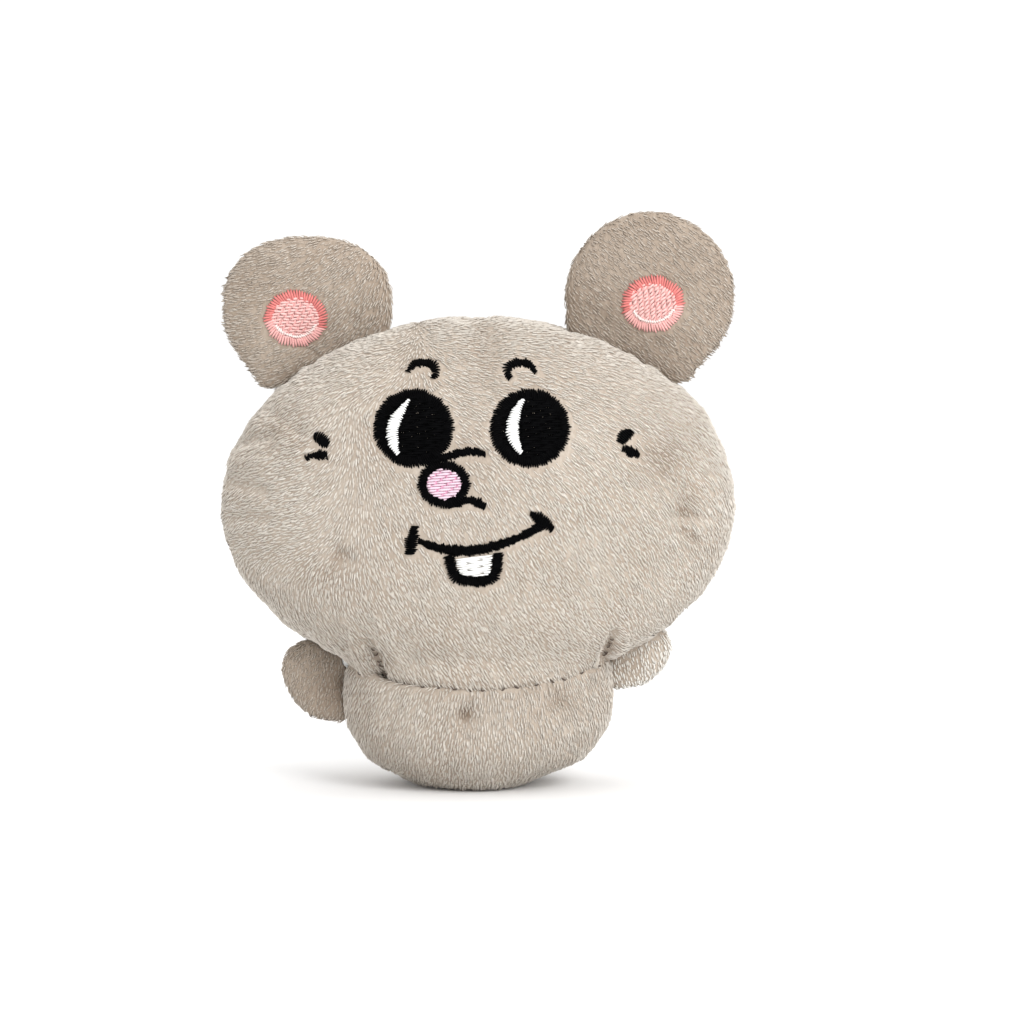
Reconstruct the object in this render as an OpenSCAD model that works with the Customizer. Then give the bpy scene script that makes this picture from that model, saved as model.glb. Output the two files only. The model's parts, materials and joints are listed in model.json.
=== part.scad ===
// Small stuffed mouse, sewn from short-pile plush, with an embroidered face.
// Millimetres. +Z up, the face looks along -Y, and the toy's own left is +X.
// The origin is the middle of the flat base panel.

/* [Head] */
// Width of the head at its widest, seam to seam
head_w = 89.6; // [72:0.1:112]
// Depth of the head, front to back
head_d = 54; // [46:0.5:68]
// Height of the head's widest line above the base
head_z = 49; // [42:0.5:60]
// Height of the crown above the widest line
crown_h = 33; // [27:0.5:42]
// Fullness of the crown seen from the side
crown_round = 2.2; // [1.8:0.1:2.8]

/* [Neck] */
// Width of the neck seam
neck_w = 46; // [38:0.5:56]
// Depth of the neck seam
neck_d = 36; // [30:0.5:44]
// Height of the neck seam at the sides
neck_z = 22.2; // [18:0.1:26]
// How far the seam dips at the front and at the back
neck_dip = 2.8; // [0:0.1:4]
// Height of the line that the head nods about
nod_z = 38; // [34:0.5:42]
// Clearance between the head and the body at the neck
neck_gap = 0.9; // [0.6:0.1:1.5]

/* [Body] */
// Width of the body
body_w = 48; // [44:0.5:58]
// Depth of the body
body_d = 39; // [34:0.5:46]
// Width of the flat oval base
base_w = 22; // [16:0.5:30]
// Depth of the flat oval base
base_d = 19; // [14:0.5:26]
// Height of the rounded lower part
round_h = 15; // [12:0.5:17]
// Height of the shoulder that turns in to the neck
shoulder_h = 4; // [2:0.5:4]

/* [Fabric] */
// Thickness of the plush, pile and backing cloth
skin_t = 1.2; // [0.8:0.1:1.5]
// Room between the plush and the stuffing, where the embroidery backing lies
fill_gap = 0.45; // [0.35:0.05:0.8]
// Thickness of the embroidery backing
backing_t = 0.25; // [0.15:0.05:0.3]
// Room left between an ear or arm and what it is sewn to
root_gap = 0.9; // [0.7:0.1:1.2]

/* [Ears] */
// Distance of the left ear's centre from the middle
left_ear_x = 29.9; // [26:0.1:33]
// Height of the left ear's centre above the crown
left_ear_up = 3.6; // [0:0.1:6]
// Width of the left ear
left_ear_w = 30.2; // [24:0.1:36]
// Height of the left ear
left_ear_h = 30; // [24:0.1:36]
// Distance of the right ear's centre from the middle
right_ear_x = 29.7; // [26:0.1:33]
// Height of the right ear's centre above the crown
right_ear_up = 1.5; // [0:0.1:6]
// Width of the right ear
right_ear_w = 30.2; // [24:0.1:36]
// Height of the right ear
right_ear_h = 25.6; // [22:0.1:36]
// Thickness in the middle of an ear
ear_t = 6.4; // [5:0.1:8]
// Distance of the ears behind the side seam of the head
ear_back = 0.8; // [0:0.1:2]

/* [Ear patches] */
// Width of a patch over its ring
patch_w = 11; // [8:0.1:13]
// Height of a patch over its ring
patch_h = 9.8; // [7:0.1:12]
// Width of the satin ring
ring_w = 1.3; // [0.8:0.1:1.8]
// How far a patch lies below the middle of its ear
patch_drop = 1.5; // [0:0.1:3]
// How far the left patch lies outwards of the middle of its ear
left_patch_out = 0.3; // [0:0.1:2.5]
// How far the right patch lies outwards of the middle of its ear
right_patch_out = 2; // [0:0.1:2.5]

/* [Arms] */
// Reach of an arm's centre past the side of the body
arm_out = 4.4; // [3.4:0.1:5.5]
// Drop of the right arm's centre below the neck seam
right_arm_drop = 6.4; // [6:0.1:9]
// Drop of the left arm's centre below the neck seam
left_arm_drop = 5.2; // [4:0.1:9]
// Width of an arm
arm_w = 13.4; // [11:0.1:15]
// Height of the right arm
right_arm_h = 14.6; // [11:0.1:16]
// Height of the left arm
left_arm_h = 11.4; // [9:0.1:12]
// Thickness of an arm
arm_t = 9; // [7:0.1:11]

/* [Face] */
// Distance of the right eye's centre from the middle
right_eye_x = 10.7; // [9:0.1:13]
// Distance of the left eye's centre from the middle
left_eye_x = 8.9; // [8:0.1:13]
// Height of the eyes above the head's widest line
eye_up = 14.7; // [11:0.1:17]
// Width of an eye
eye_w = 13.6; // [10:0.1:15]
// Height of an eye
eye_h = 13; // [10:0.1:15]
// Distance of the nose from the middle, towards the right eye
nose_x = 5.5; // [0:0.1:7]
// Height of the nose above the head's widest line
nose_up = 5.4; // [4:0.1:7]
// Thickness of the embroidery
thread_h = 0.6; // [0.4:0.05:0.9]
// Gap under the embroidery and between its pieces
thread_gap = 0.05; // [0.03:0.01:0.15]

/* [Hidden] */

PLUSH = [0.78, 0.73, 0.68];
FIBRE = [0.95, 0.95, 0.93];
BLACK = [0.08, 0.08, 0.09];
WHITE = [0.97, 0.97, 0.95];
PINK = [0.93, 0.76, 0.83];
CORAL = [0.93, 0.55, 0.52];
GREY = [0.52, 0.47, 0.43];

// Columns round the head and the body
around = 40;
quarter = around / 4;
column = 360 / around;
// Points round an ear, an arm or an eye
disc_n = 28;
// Rows from the neck to the crown, and from the base to the neck
head_rows = 14;
body_rows = 10;
// Highest row of the head, as an angle, and the width of the seam that closes it
top_angle = 75;
top_close = 0.85;
// Rows over which the dip of the neck fades out
dip_rows = 5;

function mix(a, b, t) = a + (b - a) * t;
function flatten(lists) = [for (list = lists) for (item = list) item];
// One quarter of a superellipse of power p: 1 at t = 0 and 0 at t = 1
function arch(t, p) = pow(max(0, 1 - pow(abs(t), p)), 1 / p);

// ---- Solids from grids of points ----

// A sheet between two grids of points. Rows run up and columns run to the right, seen from outside.
module sheet(outer, inner) {
  rows = len(outer) - 1;
  cols = len(outer[0]) - 1;
  half = (rows + 1) * (cols + 1);
  function at(r, c) = r * (cols + 1) + c;
  edge = concat(
    [for (r = [0 : rows - 1]) [at(r, 0), at(r + 1, 0)]],
    [for (c = [0 : cols - 1]) [at(rows, c), at(rows, c + 1)]],
    [for (r = [0 : rows - 1]) [at(r + 1, cols), at(r, cols)]],
    [for (c = [0 : cols - 1]) [at(0, c + 1), at(0, c)]]
  );
  top = flatten([
    for (r = [0 : rows - 1]) for (c = [0 : cols - 1]) [
      [at(r, c), at(r + 1, c), at(r, c + 1)],
      [at(r + 1, c), at(r + 1, c + 1), at(r, c + 1)]
    ]
  ]);
  under = [for (f = top) [f[2] + half, f[1] + half, f[0] + half]];
  walls = flatten([
    for (e = edge) [[e[1], e[0], e[0] + half], [e[1], e[0] + half, e[1] + half]]
  ]);
  polyhedron(concat(flatten(outer), flatten(inner)), concat(top, under, walls));
}

// A closed solid over rings of points, from a first middle point to a last one.
module loft(first, rings, last) {
  n = len(rings[0]);
  rows = len(rings) - 1;
  function at(r, c) = r * n + c % n;
  start = (rows + 1) * n;
  sides = flatten([
    for (r = [0 : max(rows - 1, 0)]) if (rows > 0) for (c = [0 : n - 1]) [
      [at(r, c), at(r + 1, c), at(r + 1, c + 1)],
      [at(r, c), at(r + 1, c + 1), at(r, c + 1)]
    ]
  ]);
  ends = flatten([
    for (c = [0 : n - 1]) [
      [at(0, c), at(0, c + 1), start],
      [at(rows, c + 1), at(rows, c), start + 1]
    ]
  ]);
  polyhedron(concat(flatten(rings), [first, last]), concat(sides, ends));
}

// A closed hoop over loops of points, which run round its section.
module hoop(loops) {
  n = len(loops[0]);
  m = len(loops);
  function at(r, c) = (r % m) * n + c % n;
  polyhedron(
    flatten(loops),
    flatten([
      for (r = [0 : m - 1]) for (c = [0 : n - 1]) [
        [at(r, c), at(r + 1, c), at(r + 1, c + 1)],
        [at(r, c), at(r + 1, c + 1), at(r, c + 1)]
      ]
    ])
  );
}

// ---- Shape of the head ----

// Depths of the full ellipses that the head would have below its widest line
under_h = (head_z - neck_z) / sqrt(1 - pow(neck_w / head_w, 2));
chin_h = (head_z - neck_z) / sqrt(1 - pow(neck_d / head_d, 2));
low_angle = -asin((head_z - neck_z) / under_h);

function head_half_w(z) =
  head_w / 2 * (z > head_z ? arch((z - head_z) / crown_h, 2) : arch((z - head_z) / under_h, 2));
function head_half_d(z) =
  head_d / 2 * (z > head_z ? arch((z - head_z) / crown_h, crown_round) : arch((z - head_z) / chin_h, 2));
function head_row_z(i) =
  let (angle = mix(low_angle, top_angle, i / head_rows))
  head_z + sin(angle) * (angle > 0 ? crown_h : under_h);
// Outward direction of the head's side seam at a row, as [outwards, upwards]
function head_out(i) =
  let (
    low = head_row_z(i - 0.2),
    high = head_row_z(i + 0.2),
    d = [high - low, head_half_w(low) - head_half_w(high)]
  )
  d / norm(d);
function dip(rows_away, angle) = neck_dip * pow(max(0, 1 - rows_away / dip_rows), 1.5) * pow(cos(angle), 2);

// A point of the head at a row and an angle round it, at a depth below the surface
function head_point(i, angle, depth) =
  let (z = head_row_z(i), out = head_out(i))
  [
    (head_half_w(z) - depth * out[0]) * sin(angle),
    -(head_half_d(z) - depth * out[0]) * cos(angle),
    z - depth * out[1] - dip(i, angle)
  ];

// Height of the front's surface line at the top seam
function crown_z(x) = head_z + crown_h * arch(x / (head_w / 2), 2);
function crown_point(angle, depth) =
  let (x = top_close * head_half_w(head_row_z(head_rows)) * sin(angle))
  [x, 0, crown_z(x) - depth];

// Depth coordinate of the face's surface, seen from the front at x and z
function face_y(x, z) = -head_half_d(z) * sqrt(max(0, 1 - pow(x / head_half_w(z), 2)));

// ---- Seat between the head and the body: it is round about the line that the head nods on ----

function seam_z(x) = neck_z - neck_dip * max(0, 1 - pow(2 * x / neck_w, 2));
function seat_r(x) =
  sqrt(pow(nod_z - seam_z(x), 2) + pow(neck_d / 2, 2) * max(0, 1 - pow(2 * x / neck_w, 2)));
function seat_z(x, y, gap) = nod_z - sqrt(pow(seat_r(x) + gap, 2) - y * y);
// A point on the seat, at a share of the neck's size, with a depth taken off its edge
function seat_point(share, angle, depth, gap) =
  let (
    x = (neck_w / 2 - depth) * share * sin(angle),
    y = -(neck_d / 2 - depth) * share * cos(angle)
  )
  [x, y, seat_z(x, y, gap)];

// ---- Head ----

// Part of the head's plush between two columns
module head_panel(from, to) {
  angles = [for (c = [from : to]) c * column];
  outer = concat(
    [for (i = [0 : head_rows]) [for (a = angles) head_point(i, a, 0)]],
    [[for (a = angles) crown_point(a, 0)]]
  );
  inner = concat(
    [[for (a = angles) seat_point(1, a, skin_t, 0)]],
    [for (i = [1 : head_rows]) [for (a = angles) head_point(i, a, skin_t)]],
    [[for (a = angles) crown_point(a, skin_t)]]
  );
  sheet(outer, inner);
}

module head_front_panel() color(PLUSH) head_panel(-quarter, quarter);
module head_back_left_panel() color(PLUSH) head_panel(quarter, 2 * quarter);
module head_back_right_panel() color(PLUSH) head_panel(2 * quarter, 3 * quarter);

module head_stuffing() {
  depth = skin_t + fill_gap;
  angles = [for (c = [0 : 2 : around - 1]) c * column];
  lift = [0, 0, fill_gap];
  seat = [for (share = [0.35, 0.7, 1]) [for (a = angles) seat_point(share, a, depth, 0) + lift]];
  sides = [for (i = [2 : head_rows]) [for (a = angles) head_point(i, a, depth)]];
  top = [0, 0, head_row_z(head_rows) - depth];
  color(FIBRE) loft(seat_point(0, 0, depth, 0) + lift, concat(seat, sides), top);
}

module face_backing() {
  first = 4;
  last = head_rows - 3;
  reach = 5;
  depth = skin_t + (fill_gap - backing_t) / 2;
  function cloth(d) =
    [for (i = [first : last]) [for (c = [-reach : reach]) head_point(i, c * column, d)]];
  color(WHITE) sheet(cloth(depth), cloth(depth + backing_t));
}

// ---- Embroidery on the face ----

// A point on the face, raised by a height
function face_at(x, z, up) = [x, face_y(x, z) - up, z];

// A filled oval
module oval(x, z, w, h, low, high) {
  function ring(share, up) =
    [for (k = [0 : disc_n - 1]) let (a = 360 * k / disc_n)
      face_at(x + w / 2 * share * cos(a), z + h / 2 * share * sin(a), up)];
  shares = [0.5, 0.85, 1];
  rings = concat(
    [for (s = shares) ring(s, low)],
    [for (k = [2 : -1 : 0]) ring(shares[k], mix(high, low, k == 2 ? 0.5 : 0))]
  );
  loft(face_at(x, z, low), rings, face_at(x, z, high));
}

// A line of satin stitch through points [x, z, width]
module satin(path, low, high) {
  n = len(path) - 1;
  function way(k) =
    let (a = path[max(k - 1, 0)], b = path[min(k + 1, n)], d = [b[0] - a[0], b[1] - a[1]])
    d / norm(d);
  function across(k, side, up) =
    let (w = way(k), p = path[k])
    face_at(p[0] + w[1] * p[2] / 2 * side, p[1] - w[0] * p[2] / 2 * side, up);
  function strip(lift) = [for (k = [0 : n]) [for (s = [-1, 0, 1]) across(k, s, lift[abs(s)])]];
  sheet(strip([high, mix(low, high, 0.4)]), strip([low, low]));
}

// A smooth curve through points [x, z, width], in steps between them
function curve(p, steps) =
  let (n = len(p) - 1)
  concat(
    [for (k = [0 : n - 1]) for (s = [0 : steps - 1])
      let (
        t = s / steps,
        a = p[max(k - 1, 0)],
        b = p[k],
        c = p[k + 1],
        d = p[min(k + 2, n)]
      )
      0.5 * (2 * b + (c - a) * t + (2 * a - 5 * b + 4 * c - d) * t * t + (3 * b - a - 3 * c + d) * t * t * t)
    ],
    [p[n]]
  );

// Points moved to the place of a feature
function moved(p, x, z) = [for (q = p) [q[0] + x, q[1] + z, q[2]]];
function mirrored(p) = [for (k = [len(p) - 1 : -1 : 0]) [-p[k][0], p[k][1], p[k][2]]];

low = thread_gap;
high = thread_gap + thread_h;
eye_z = head_z + eye_up;
nose_z = head_z + nose_up;

module eye(x) color(BLACK) oval(x, eye_z, eye_w, eye_h, low, high);
module left_eye() eye(left_eye_x);
module right_eye() eye(-right_eye_x);

// The highlight follows the rim of the eye, on the side of the toy's right hand
module highlight(x) {
  reach = 0.52;
  path = [
    for (a = [104 : 19 : 256]) [
      eye_w * reach / 2 * (cos(a) * 1.05 - 0.01),
      eye_h * reach / 2 * sin(a) * 1.4,
      0.3 + 1.8 * pow(abs(sin((a - 104) / 152 * 180)), 0.8)
    ]
  ];
  color(WHITE) satin(moved(path, x, eye_z), high + 2 * low, high + 2 * low + thread_h / 2);
}
module left_eye_highlight() highlight(left_eye_x);
module right_eye_highlight() highlight(-right_eye_x);

// Measured from the eye under it
right_brow_path = [
  [-1.1, 9.2, 0.5], [-0.2, 10.4, 1.1], [1.6, 10.9, 1.3], [3.3, 10.5, 1.4], [3.8, 9.5, 1.3], [3.2, 8.2, 0.7]
];
module right_brow() color(BLACK) satin(moved(curve(right_brow_path, 2), -right_eye_x, eye_z), low, high);
module left_brow() color(BLACK) satin(moved(curve(mirrored(right_brow_path), 2), left_eye_x, eye_z), low, high);

// Two short strokes on each cheek, measured from the middle and the head's widest line
right_marks = [
  [[-28.3, 13.3, 0.7], [-27.5, 12.7, 1.4], [-26.2, 11.9, 1.7], [-25.1, 11.2, 1.2]],
  [[-29.3, 9.5, 0.6], [-28.2, 9.7, 1.1], [-26.7, 10, 1.4], [-25.5, 10.2, 1.2]]
];
left_marks = [
  [[26.3, 14.1, 1], [25.6, 13.4, 1.5], [24.8, 12.6, 1.6], [24.1, 11.9, 1.1]],
  [[24.2, 11.2, 0.8], [25.2, 10.8, 1.2], [26.4, 10.5, 1.4], [27.7, 10.2, 0.7]]
];
module cheek_marks(paths) for (path = paths) satin(moved(path, 0, head_z), low, high);
module right_cheek_marks() color(BLACK) cheek_marks(right_marks);
module left_cheek_marks() color(BLACK) cheek_marks(left_marks);

nose_w = 5.8;
nose_h = 4.9;
outline_w = 1.4;
module nose_fill() color(PINK) oval(-nose_x, nose_z, nose_w, nose_h, low, high);

// An oval ring of satin stitch
module satin_ring(x, z, w, h, band, low, high) {
  function rail(share, up) =
    [for (k = [0 : disc_n - 1]) let (a = 360 * k / disc_n)
      face_at(x + (w / 2 - band * share) * cos(a), z + (h / 2 - band * share) * sin(a), up)];
  hoop([rail(1, low), rail(0, low), rail(0, mix(low, high, 0.4)), rail(0.5, high), rail(1, mix(low, high, 0.4))]);
}

// Two tails run from the nose towards the left eye, measured from the middle of the nose
nose_tails = [
  [[1.9, 4.8, 1.1], [3.4, 5.4, 1.3], [5.1, 5.4, 1.2], [6.9, 5, 0.7]],
  [[2.6, -4.3, 0.9], [4.5, -3.6, 1.4], [6.2, -3.6, 1.4], [7.1, -4.1, 0.8]]
];
module nose_outline() {
  w = nose_w + 2 * (outline_w + thread_gap);
  h = nose_h + 2 * (outline_w + thread_gap);
  color(BLACK) {
    satin_ring(-nose_x, nose_z, w, h, outline_w, low, high);
    for (tail = nose_tails) satin(moved(curve(tail, 2), -nose_x, nose_z), low, high);
  }
}

// The smile and the tick at each of its ends, measured from the middle and the head's widest line
mouth_paths = [
  [[-9.7, -4.2, 1], [-8, -4.8, 1.2], [-5.7, -5.5, 1.5], [-2.1, -5.8, 1.5], [1.3, -5.4, 1.4], [4.7, -4.4, 1.4],
    [7.4, -3.4, 1.2], [10, -2, 0.9]],
  [[-11.3, -6.3, 1.6], [-10.9, -4, 1.8], [-10.4, -1.8, 1]],
  [[9.1, 0.5, 1], [10.9, -0.6, 1.9], [12.6, -2.2, 1.1]]
];
module mouth_line() {
  color(BLACK)
    for (path = mouth_paths) satin(moved(curve(path, 2), 0, head_z), low, high);
}

// The tooth hangs under the smile, measured as the smile is
tooth_path = [[-0.5, -6.8, 5.9], [-0.4, -8.3, 5.5], [-0.35, -9.8, 4.7]];
tooth_edge = [
  [-4.7, -6.7, 1.4], [-4.3, -8.6, 1.5], [-3.6, -10.2, 1.5], [-2.4, -10.8, 1.5], [-0.3, -10.9, 1.5],
  [1.8, -10.8, 1.5], [2.9, -10, 1.5], [3.3, -8.4, 1.5], [3.5, -6.2, 1.3]
];
module tooth_fill() color(WHITE) satin(moved(tooth_path, 0, head_z), low, high);
module tooth_outline() color(BLACK) satin(moved(curve(tooth_edge, 2), 0, head_z), low, high);

// ---- Stitches ----

stitch_l = 1.7;
stitch_t = 0.5;
stitch_gap = 3 * thread_gap;

// One stitch on a surface: its middle, the way it runs and the way out of the surface
module stitch(p, along, out) {
  a = along / norm(along);
  n = (out - (out * a) * a) / norm(out - (out * a) * a);
  b = cross(n, a);
  multmatrix([
    [a[0], b[0], n[0], p[0]],
    [a[1], b[1], n[1], p[1]],
    [a[2], b[2], n[2], p[2]],
    [0, 0, 0, 1]
  ])
    translate([-stitch_l / 2, -stitch_t / 2, stitch_gap])
      cube([stitch_l, stitch_t, stitch_t]);
}

// One stitch on the head, at a row and an angle, turned from the way round the head towards the way up
module head_stitch(i, angle, turn) {
  round_way = head_point(i, angle + 1, 0) - head_point(i, angle - 1, 0);
  up_way = head_point(i + 0.1, angle, 0) - head_point(i - 0.1, angle, 0);
  along = cos(turn) * round_way / norm(round_way) + sin(turn) * up_way / norm(up_way);
  stitch(head_point(i, angle, 0), along, cross(round_way, up_way));
}

// Two darts at the neck, each a short row of stitches
dart_angle = 40;
dart_first = 0.85;
dart_step = 0.32;
dart_n = 3;
module dart_stitches() {
  color(GREY)
    for (side = [-1, 1])
      for (k = [0 : dart_n - 1])
        head_stitch(dart_first + dart_step * k, side * (dart_angle - k), 90 + 12 * side);
}

// The stuffing hole in the middle of the back, closed by hand
closing_n = 7;
closing_first = 2.7;
closing_step = 0.53;
module closing_stitches() {
  color(GREY)
    for (k = [0 : closing_n - 1]) head_stitch(closing_first + closing_step * k, 180, 0);
}

// Stitches under the neck seam. The sides are left free for the arms.
neck_stitch_n = 44;
neck_stitch_row = 1.1;
neck_stitch_reach = 0.95;
module neck_stitches() {
  color(GREY)
    for (k = [0 : neck_stitch_n - 1]) {
      a = 360 * (k + 0.5) / neck_stitch_n;
      i = body_rows - neck_stitch_row;
      round_way = body_point(i, a + 1, 0) - body_point(i, a - 1, 0);
      up_way = body_point(i + 0.1, a, 0) - body_point(i - 0.1, a, 0);
      if (abs(sin(a)) < neck_stitch_reach) stitch(body_point(i, a, 0), round_way, cross(round_way, up_way));
    }
}

// ---- Body ----

neck_top = neck_z - neck_gap;
// Rows of the shoulder
shoulder_rows = 3;
wall_rows = 1;
function body_size(i) =
  let (
    round_rows = body_rows - shoulder_rows - wall_rows,
    up = neck_top - shoulder_h
  )
  i <= round_rows
    ? let (a = 90 * i / round_rows, out = arch(cos(a), 1.8), z = round_h * (1 - cos(a)))
      [mix(base_w, body_w, out) / 2, mix(base_d, body_d, out) / 2, z]
    : i <= round_rows + wall_rows
      ? [body_w / 2, body_d / 2, mix(round_h, up, (i - round_rows) / wall_rows)]
      : let (a = 90 * (i - round_rows - wall_rows) / shoulder_rows)
        [mix(neck_w, body_w, cos(a)) / 2, mix(neck_d, body_d, cos(a)) / 2, up + shoulder_h * sin(a)];
function body_out(i) =
  let (
    low = body_size(max(0, i - 0.2)),
    high = body_size(min(body_rows, i + 0.2)),
    d = [high[2] - low[2], low[0] - high[0]]
  )
  d / norm(d);
function body_point(i, angle, depth) =
  let (s = body_size(i), out = body_out(i))
  [
    (s[0] - depth * out[0]) * sin(angle),
    -(s[1] - depth * out[0]) * cos(angle),
    s[2] - depth * out[1] - dip(body_rows - i, angle)
  ];

// Part of the body's plush between two columns. Its lowest edge stands against the base panel.
module body_panel(from, to) {
  angles = [for (c = [from : to]) c * column];
  function base_edge(z) = [for (a = angles) [base_w / 2 * sin(a), -base_d / 2 * cos(a), z]];
  outer = concat(
    [base_edge(0)],
    [for (i = [1 : body_rows - 1]) [for (a = angles) body_point(i, a, 0)]],
    [[for (a = angles) seat_point(1, a, 0, neck_gap)]]
  );
  inner = concat(
    [base_edge(skin_t)],
    [for (i = [1 : body_rows - 1]) [for (a = angles) body_point(i, a, skin_t)]],
    [[for (a = angles) seat_point(1, a, skin_t, neck_gap)]]
  );
  sheet(outer, inner);
}

module body_front_panel() color(PLUSH) body_panel(-quarter, quarter);
module body_back_panel() color(PLUSH) body_panel(quarter, 3 * quarter);

module base_panel() {
  color(PLUSH)
    linear_extrude(skin_t)
      polygon([for (c = [0 : around - 1]) [base_w / 2 * sin(c * column), -base_d / 2 * cos(c * column)]]);
}

module body_stuffing() {
  depth = skin_t + fill_gap;
  angles = [for (c = [0 : 2 : around - 1]) c * column];
  drop = [0, 0, -fill_gap];
  sides = [for (i = [1 : body_rows - 2]) [for (a = angles) body_point(i, a, depth)]];
  seat = [for (share = [1, 0.7, 0.35]) [for (a = angles) seat_point(share, a, depth, neck_gap) + drop]];
  base = [0, 0, skin_t + fill_gap / 2];
  color(FIBRE) loft(base, concat(sides, seat), seat_point(0, 0, depth, neck_gap) + drop);
}

// ---- Ears and arms: two panels round a pad, cut off where they are sewn on ----

// A pad is [x, z, half width, half height, squareness, y, thickness, fullness], with the oval that cuts
// its root off as [x, z, half width, half height]
function cut_distance(pad, cut, a) =
  let (
    o = [(pad[0] - cut[0]) / cut[2], (pad[1] - cut[1]) / cut[3]],
    d = [cos(a) / cut[2], sin(a) / cut[3]],
    along = -o * d,
    inside = along * along - d * d * (o * o - 1)
  )
  inside > 0 && along > 0 ? (along - sqrt(inside)) / (d * d) : 1e6;
function pad_r(pad, cut, a) =
  min(
    cut_distance(pad, cut, a),
    1 / pow(pow(abs(cos(a)) / pad[2], pad[4]) + pow(abs(sin(a)) / pad[3], pad[4]), 1 / pad[4])
  );
// Half the thickness of a pad at a share of its radius
function pad_half(pad, share) = mix(skin_t, pad[6] / 2, arch(share, pad[7]));

function pad_ring(pad, cut, share, side, depth) =
  [for (k = [0 : disc_n - 1]) let (a = 360 * k / disc_n, r = pad_r(pad, cut, a) * share)
    [pad[0] + r * cos(a), pad[5] + side * (pad_half(pad, share) - depth), pad[1] + r * sin(a)]];
function pad_middle(pad, side, depth) = [pad[0], pad[5] + side * (pad[6] / 2 - depth), pad[1]];

pad_shares = [0.35, 0.65, 0.88, 1];
fill_shares = [0.4, 0.7, 0.88];
function growing(pad, cut, shares, side, depth) = [for (s = shares) pad_ring(pad, cut, s, side, depth)];
function shrinking(pad, cut, shares, side, depth) =
  [for (k = [len(shares) - 1 : -1 : 0]) pad_ring(pad, cut, shares[k], side, depth)];

module pad_front(pad, cut)
  loft(
    pad_middle(pad, -1, skin_t),
    concat(growing(pad, cut, pad_shares, -1, skin_t), shrinking(pad, cut, pad_shares, -1, 0)),
    pad_middle(pad, -1, 0)
  );
module pad_back(pad, cut)
  loft(
    pad_middle(pad, 1, 0),
    concat(growing(pad, cut, pad_shares, 1, 0), shrinking(pad, cut, pad_shares, 1, skin_t)),
    pad_middle(pad, 1, skin_t)
  );
module pad_fill(pad, cut) {
  depth = skin_t + 0.1;
  loft(
    pad_middle(pad, 1, depth),
    concat(growing(pad, cut, fill_shares, 1, depth), shrinking(pad, cut, fill_shares, -1, depth)),
    pad_middle(pad, -1, depth)
  );
}

head_cut = [0, head_z, head_w / 2 + root_gap, crown_h + root_gap];
body_cut = [0, 0, body_w / 2 + root_gap, 1000];
crown_top = head_z + crown_h;

left_ear_pad = [left_ear_x, crown_top + left_ear_up, left_ear_w / 2, left_ear_h / 2, 2, ear_back, ear_t, 2.6];
right_ear_pad = [-right_ear_x, crown_top + right_ear_up, right_ear_w / 2, right_ear_h / 2, 2.4, ear_back, ear_t, 2.6];

// Patches lie on the front of an ear
function ear_y(pad, cut, x, z) =
  let (
    d = [x - pad[0], z - pad[1]],
    share = norm(d) / pad_r(pad, cut, atan2(d[1], d[0]))
  )
  pad[5] - pad_half(pad, share);
function patch_x(pad) = pad[0] + (pad[0] > 0 ? left_patch_out : -right_patch_out);
function patch_at(pad, x, z, up) = [x, ear_y(pad, head_cut, x, z) - up, z];
function patch_ring(pad, w, h, up) =
  [for (k = [0 : disc_n - 1]) let (a = 360 * k / disc_n)
    patch_at(pad, patch_x(pad) + w / 2 * cos(a), pad[1] - patch_drop + h / 2 * sin(a), up)];
function patch_middle(pad, up) = patch_at(pad, patch_x(pad), pad[1] - patch_drop, up);

module ear_patch(pad) {
  w = patch_w - 2 * (ring_w + thread_gap);
  h = patch_h - 2 * (ring_w + thread_gap);
  low = 2 * thread_gap;
  rings = concat(
    [for (s = [0.5, 1]) patch_ring(pad, w * s, h * s, low)],
    [for (s = [1, 0.5]) patch_ring(pad, w * s, h * s, low + thread_h * 0.7)]
  );
  color(PINK) loft(patch_middle(pad, low), rings, patch_middle(pad, low + thread_h * 0.7));
}
module ear_ring(pad) {
  low = 2 * thread_gap;
  high = low + thread_h;
  function rail(share, up) = patch_ring(pad, patch_w - 2 * ring_w * share, patch_h - 2 * ring_w * share, up);
  color(CORAL)
    hoop([rail(1, low), rail(0, low), rail(0, mix(low, high, 0.4)), rail(0.5, high), rail(1, mix(low, high, 0.4))]);
}

module left_ear_front_panel() color(PLUSH) pad_front(left_ear_pad, head_cut);
module left_ear_back_panel() color(PLUSH) pad_back(left_ear_pad, head_cut);
module left_ear_wadding() color(FIBRE) pad_fill(left_ear_pad, head_cut);
module left_ear_patch() ear_patch(left_ear_pad);
module left_ear_ring() ear_ring(left_ear_pad);
module right_ear_front_panel() color(PLUSH) pad_front(right_ear_pad, head_cut);
module right_ear_back_panel() color(PLUSH) pad_back(right_ear_pad, head_cut);
module right_ear_wadding() color(FIBRE) pad_fill(right_ear_pad, head_cut);
module right_ear_patch() ear_patch(right_ear_pad);
module right_ear_ring() ear_ring(right_ear_pad);

arm_x = body_w / 2 + arm_out;
left_arm_pad = [arm_x, neck_z - left_arm_drop, arm_w / 2, left_arm_h / 2, 2, 0, arm_t, 2];
right_arm_pad = [-arm_x, neck_z - right_arm_drop, arm_w / 2, right_arm_h / 2, 2, 0, arm_t, 2];

module left_arm_front_panel() color(PLUSH) pad_front(left_arm_pad, body_cut);
module left_arm_back_panel() color(PLUSH) pad_back(left_arm_pad, body_cut);
module left_arm_stuffing() color(FIBRE) pad_fill(left_arm_pad, body_cut);
module right_arm_front_panel() color(PLUSH) pad_front(right_arm_pad, body_cut);
module right_arm_back_panel() color(PLUSH) pad_back(right_arm_pad, body_cut);
module right_arm_stuffing() color(FIBRE) pad_fill(right_arm_pad, body_cut);

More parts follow.
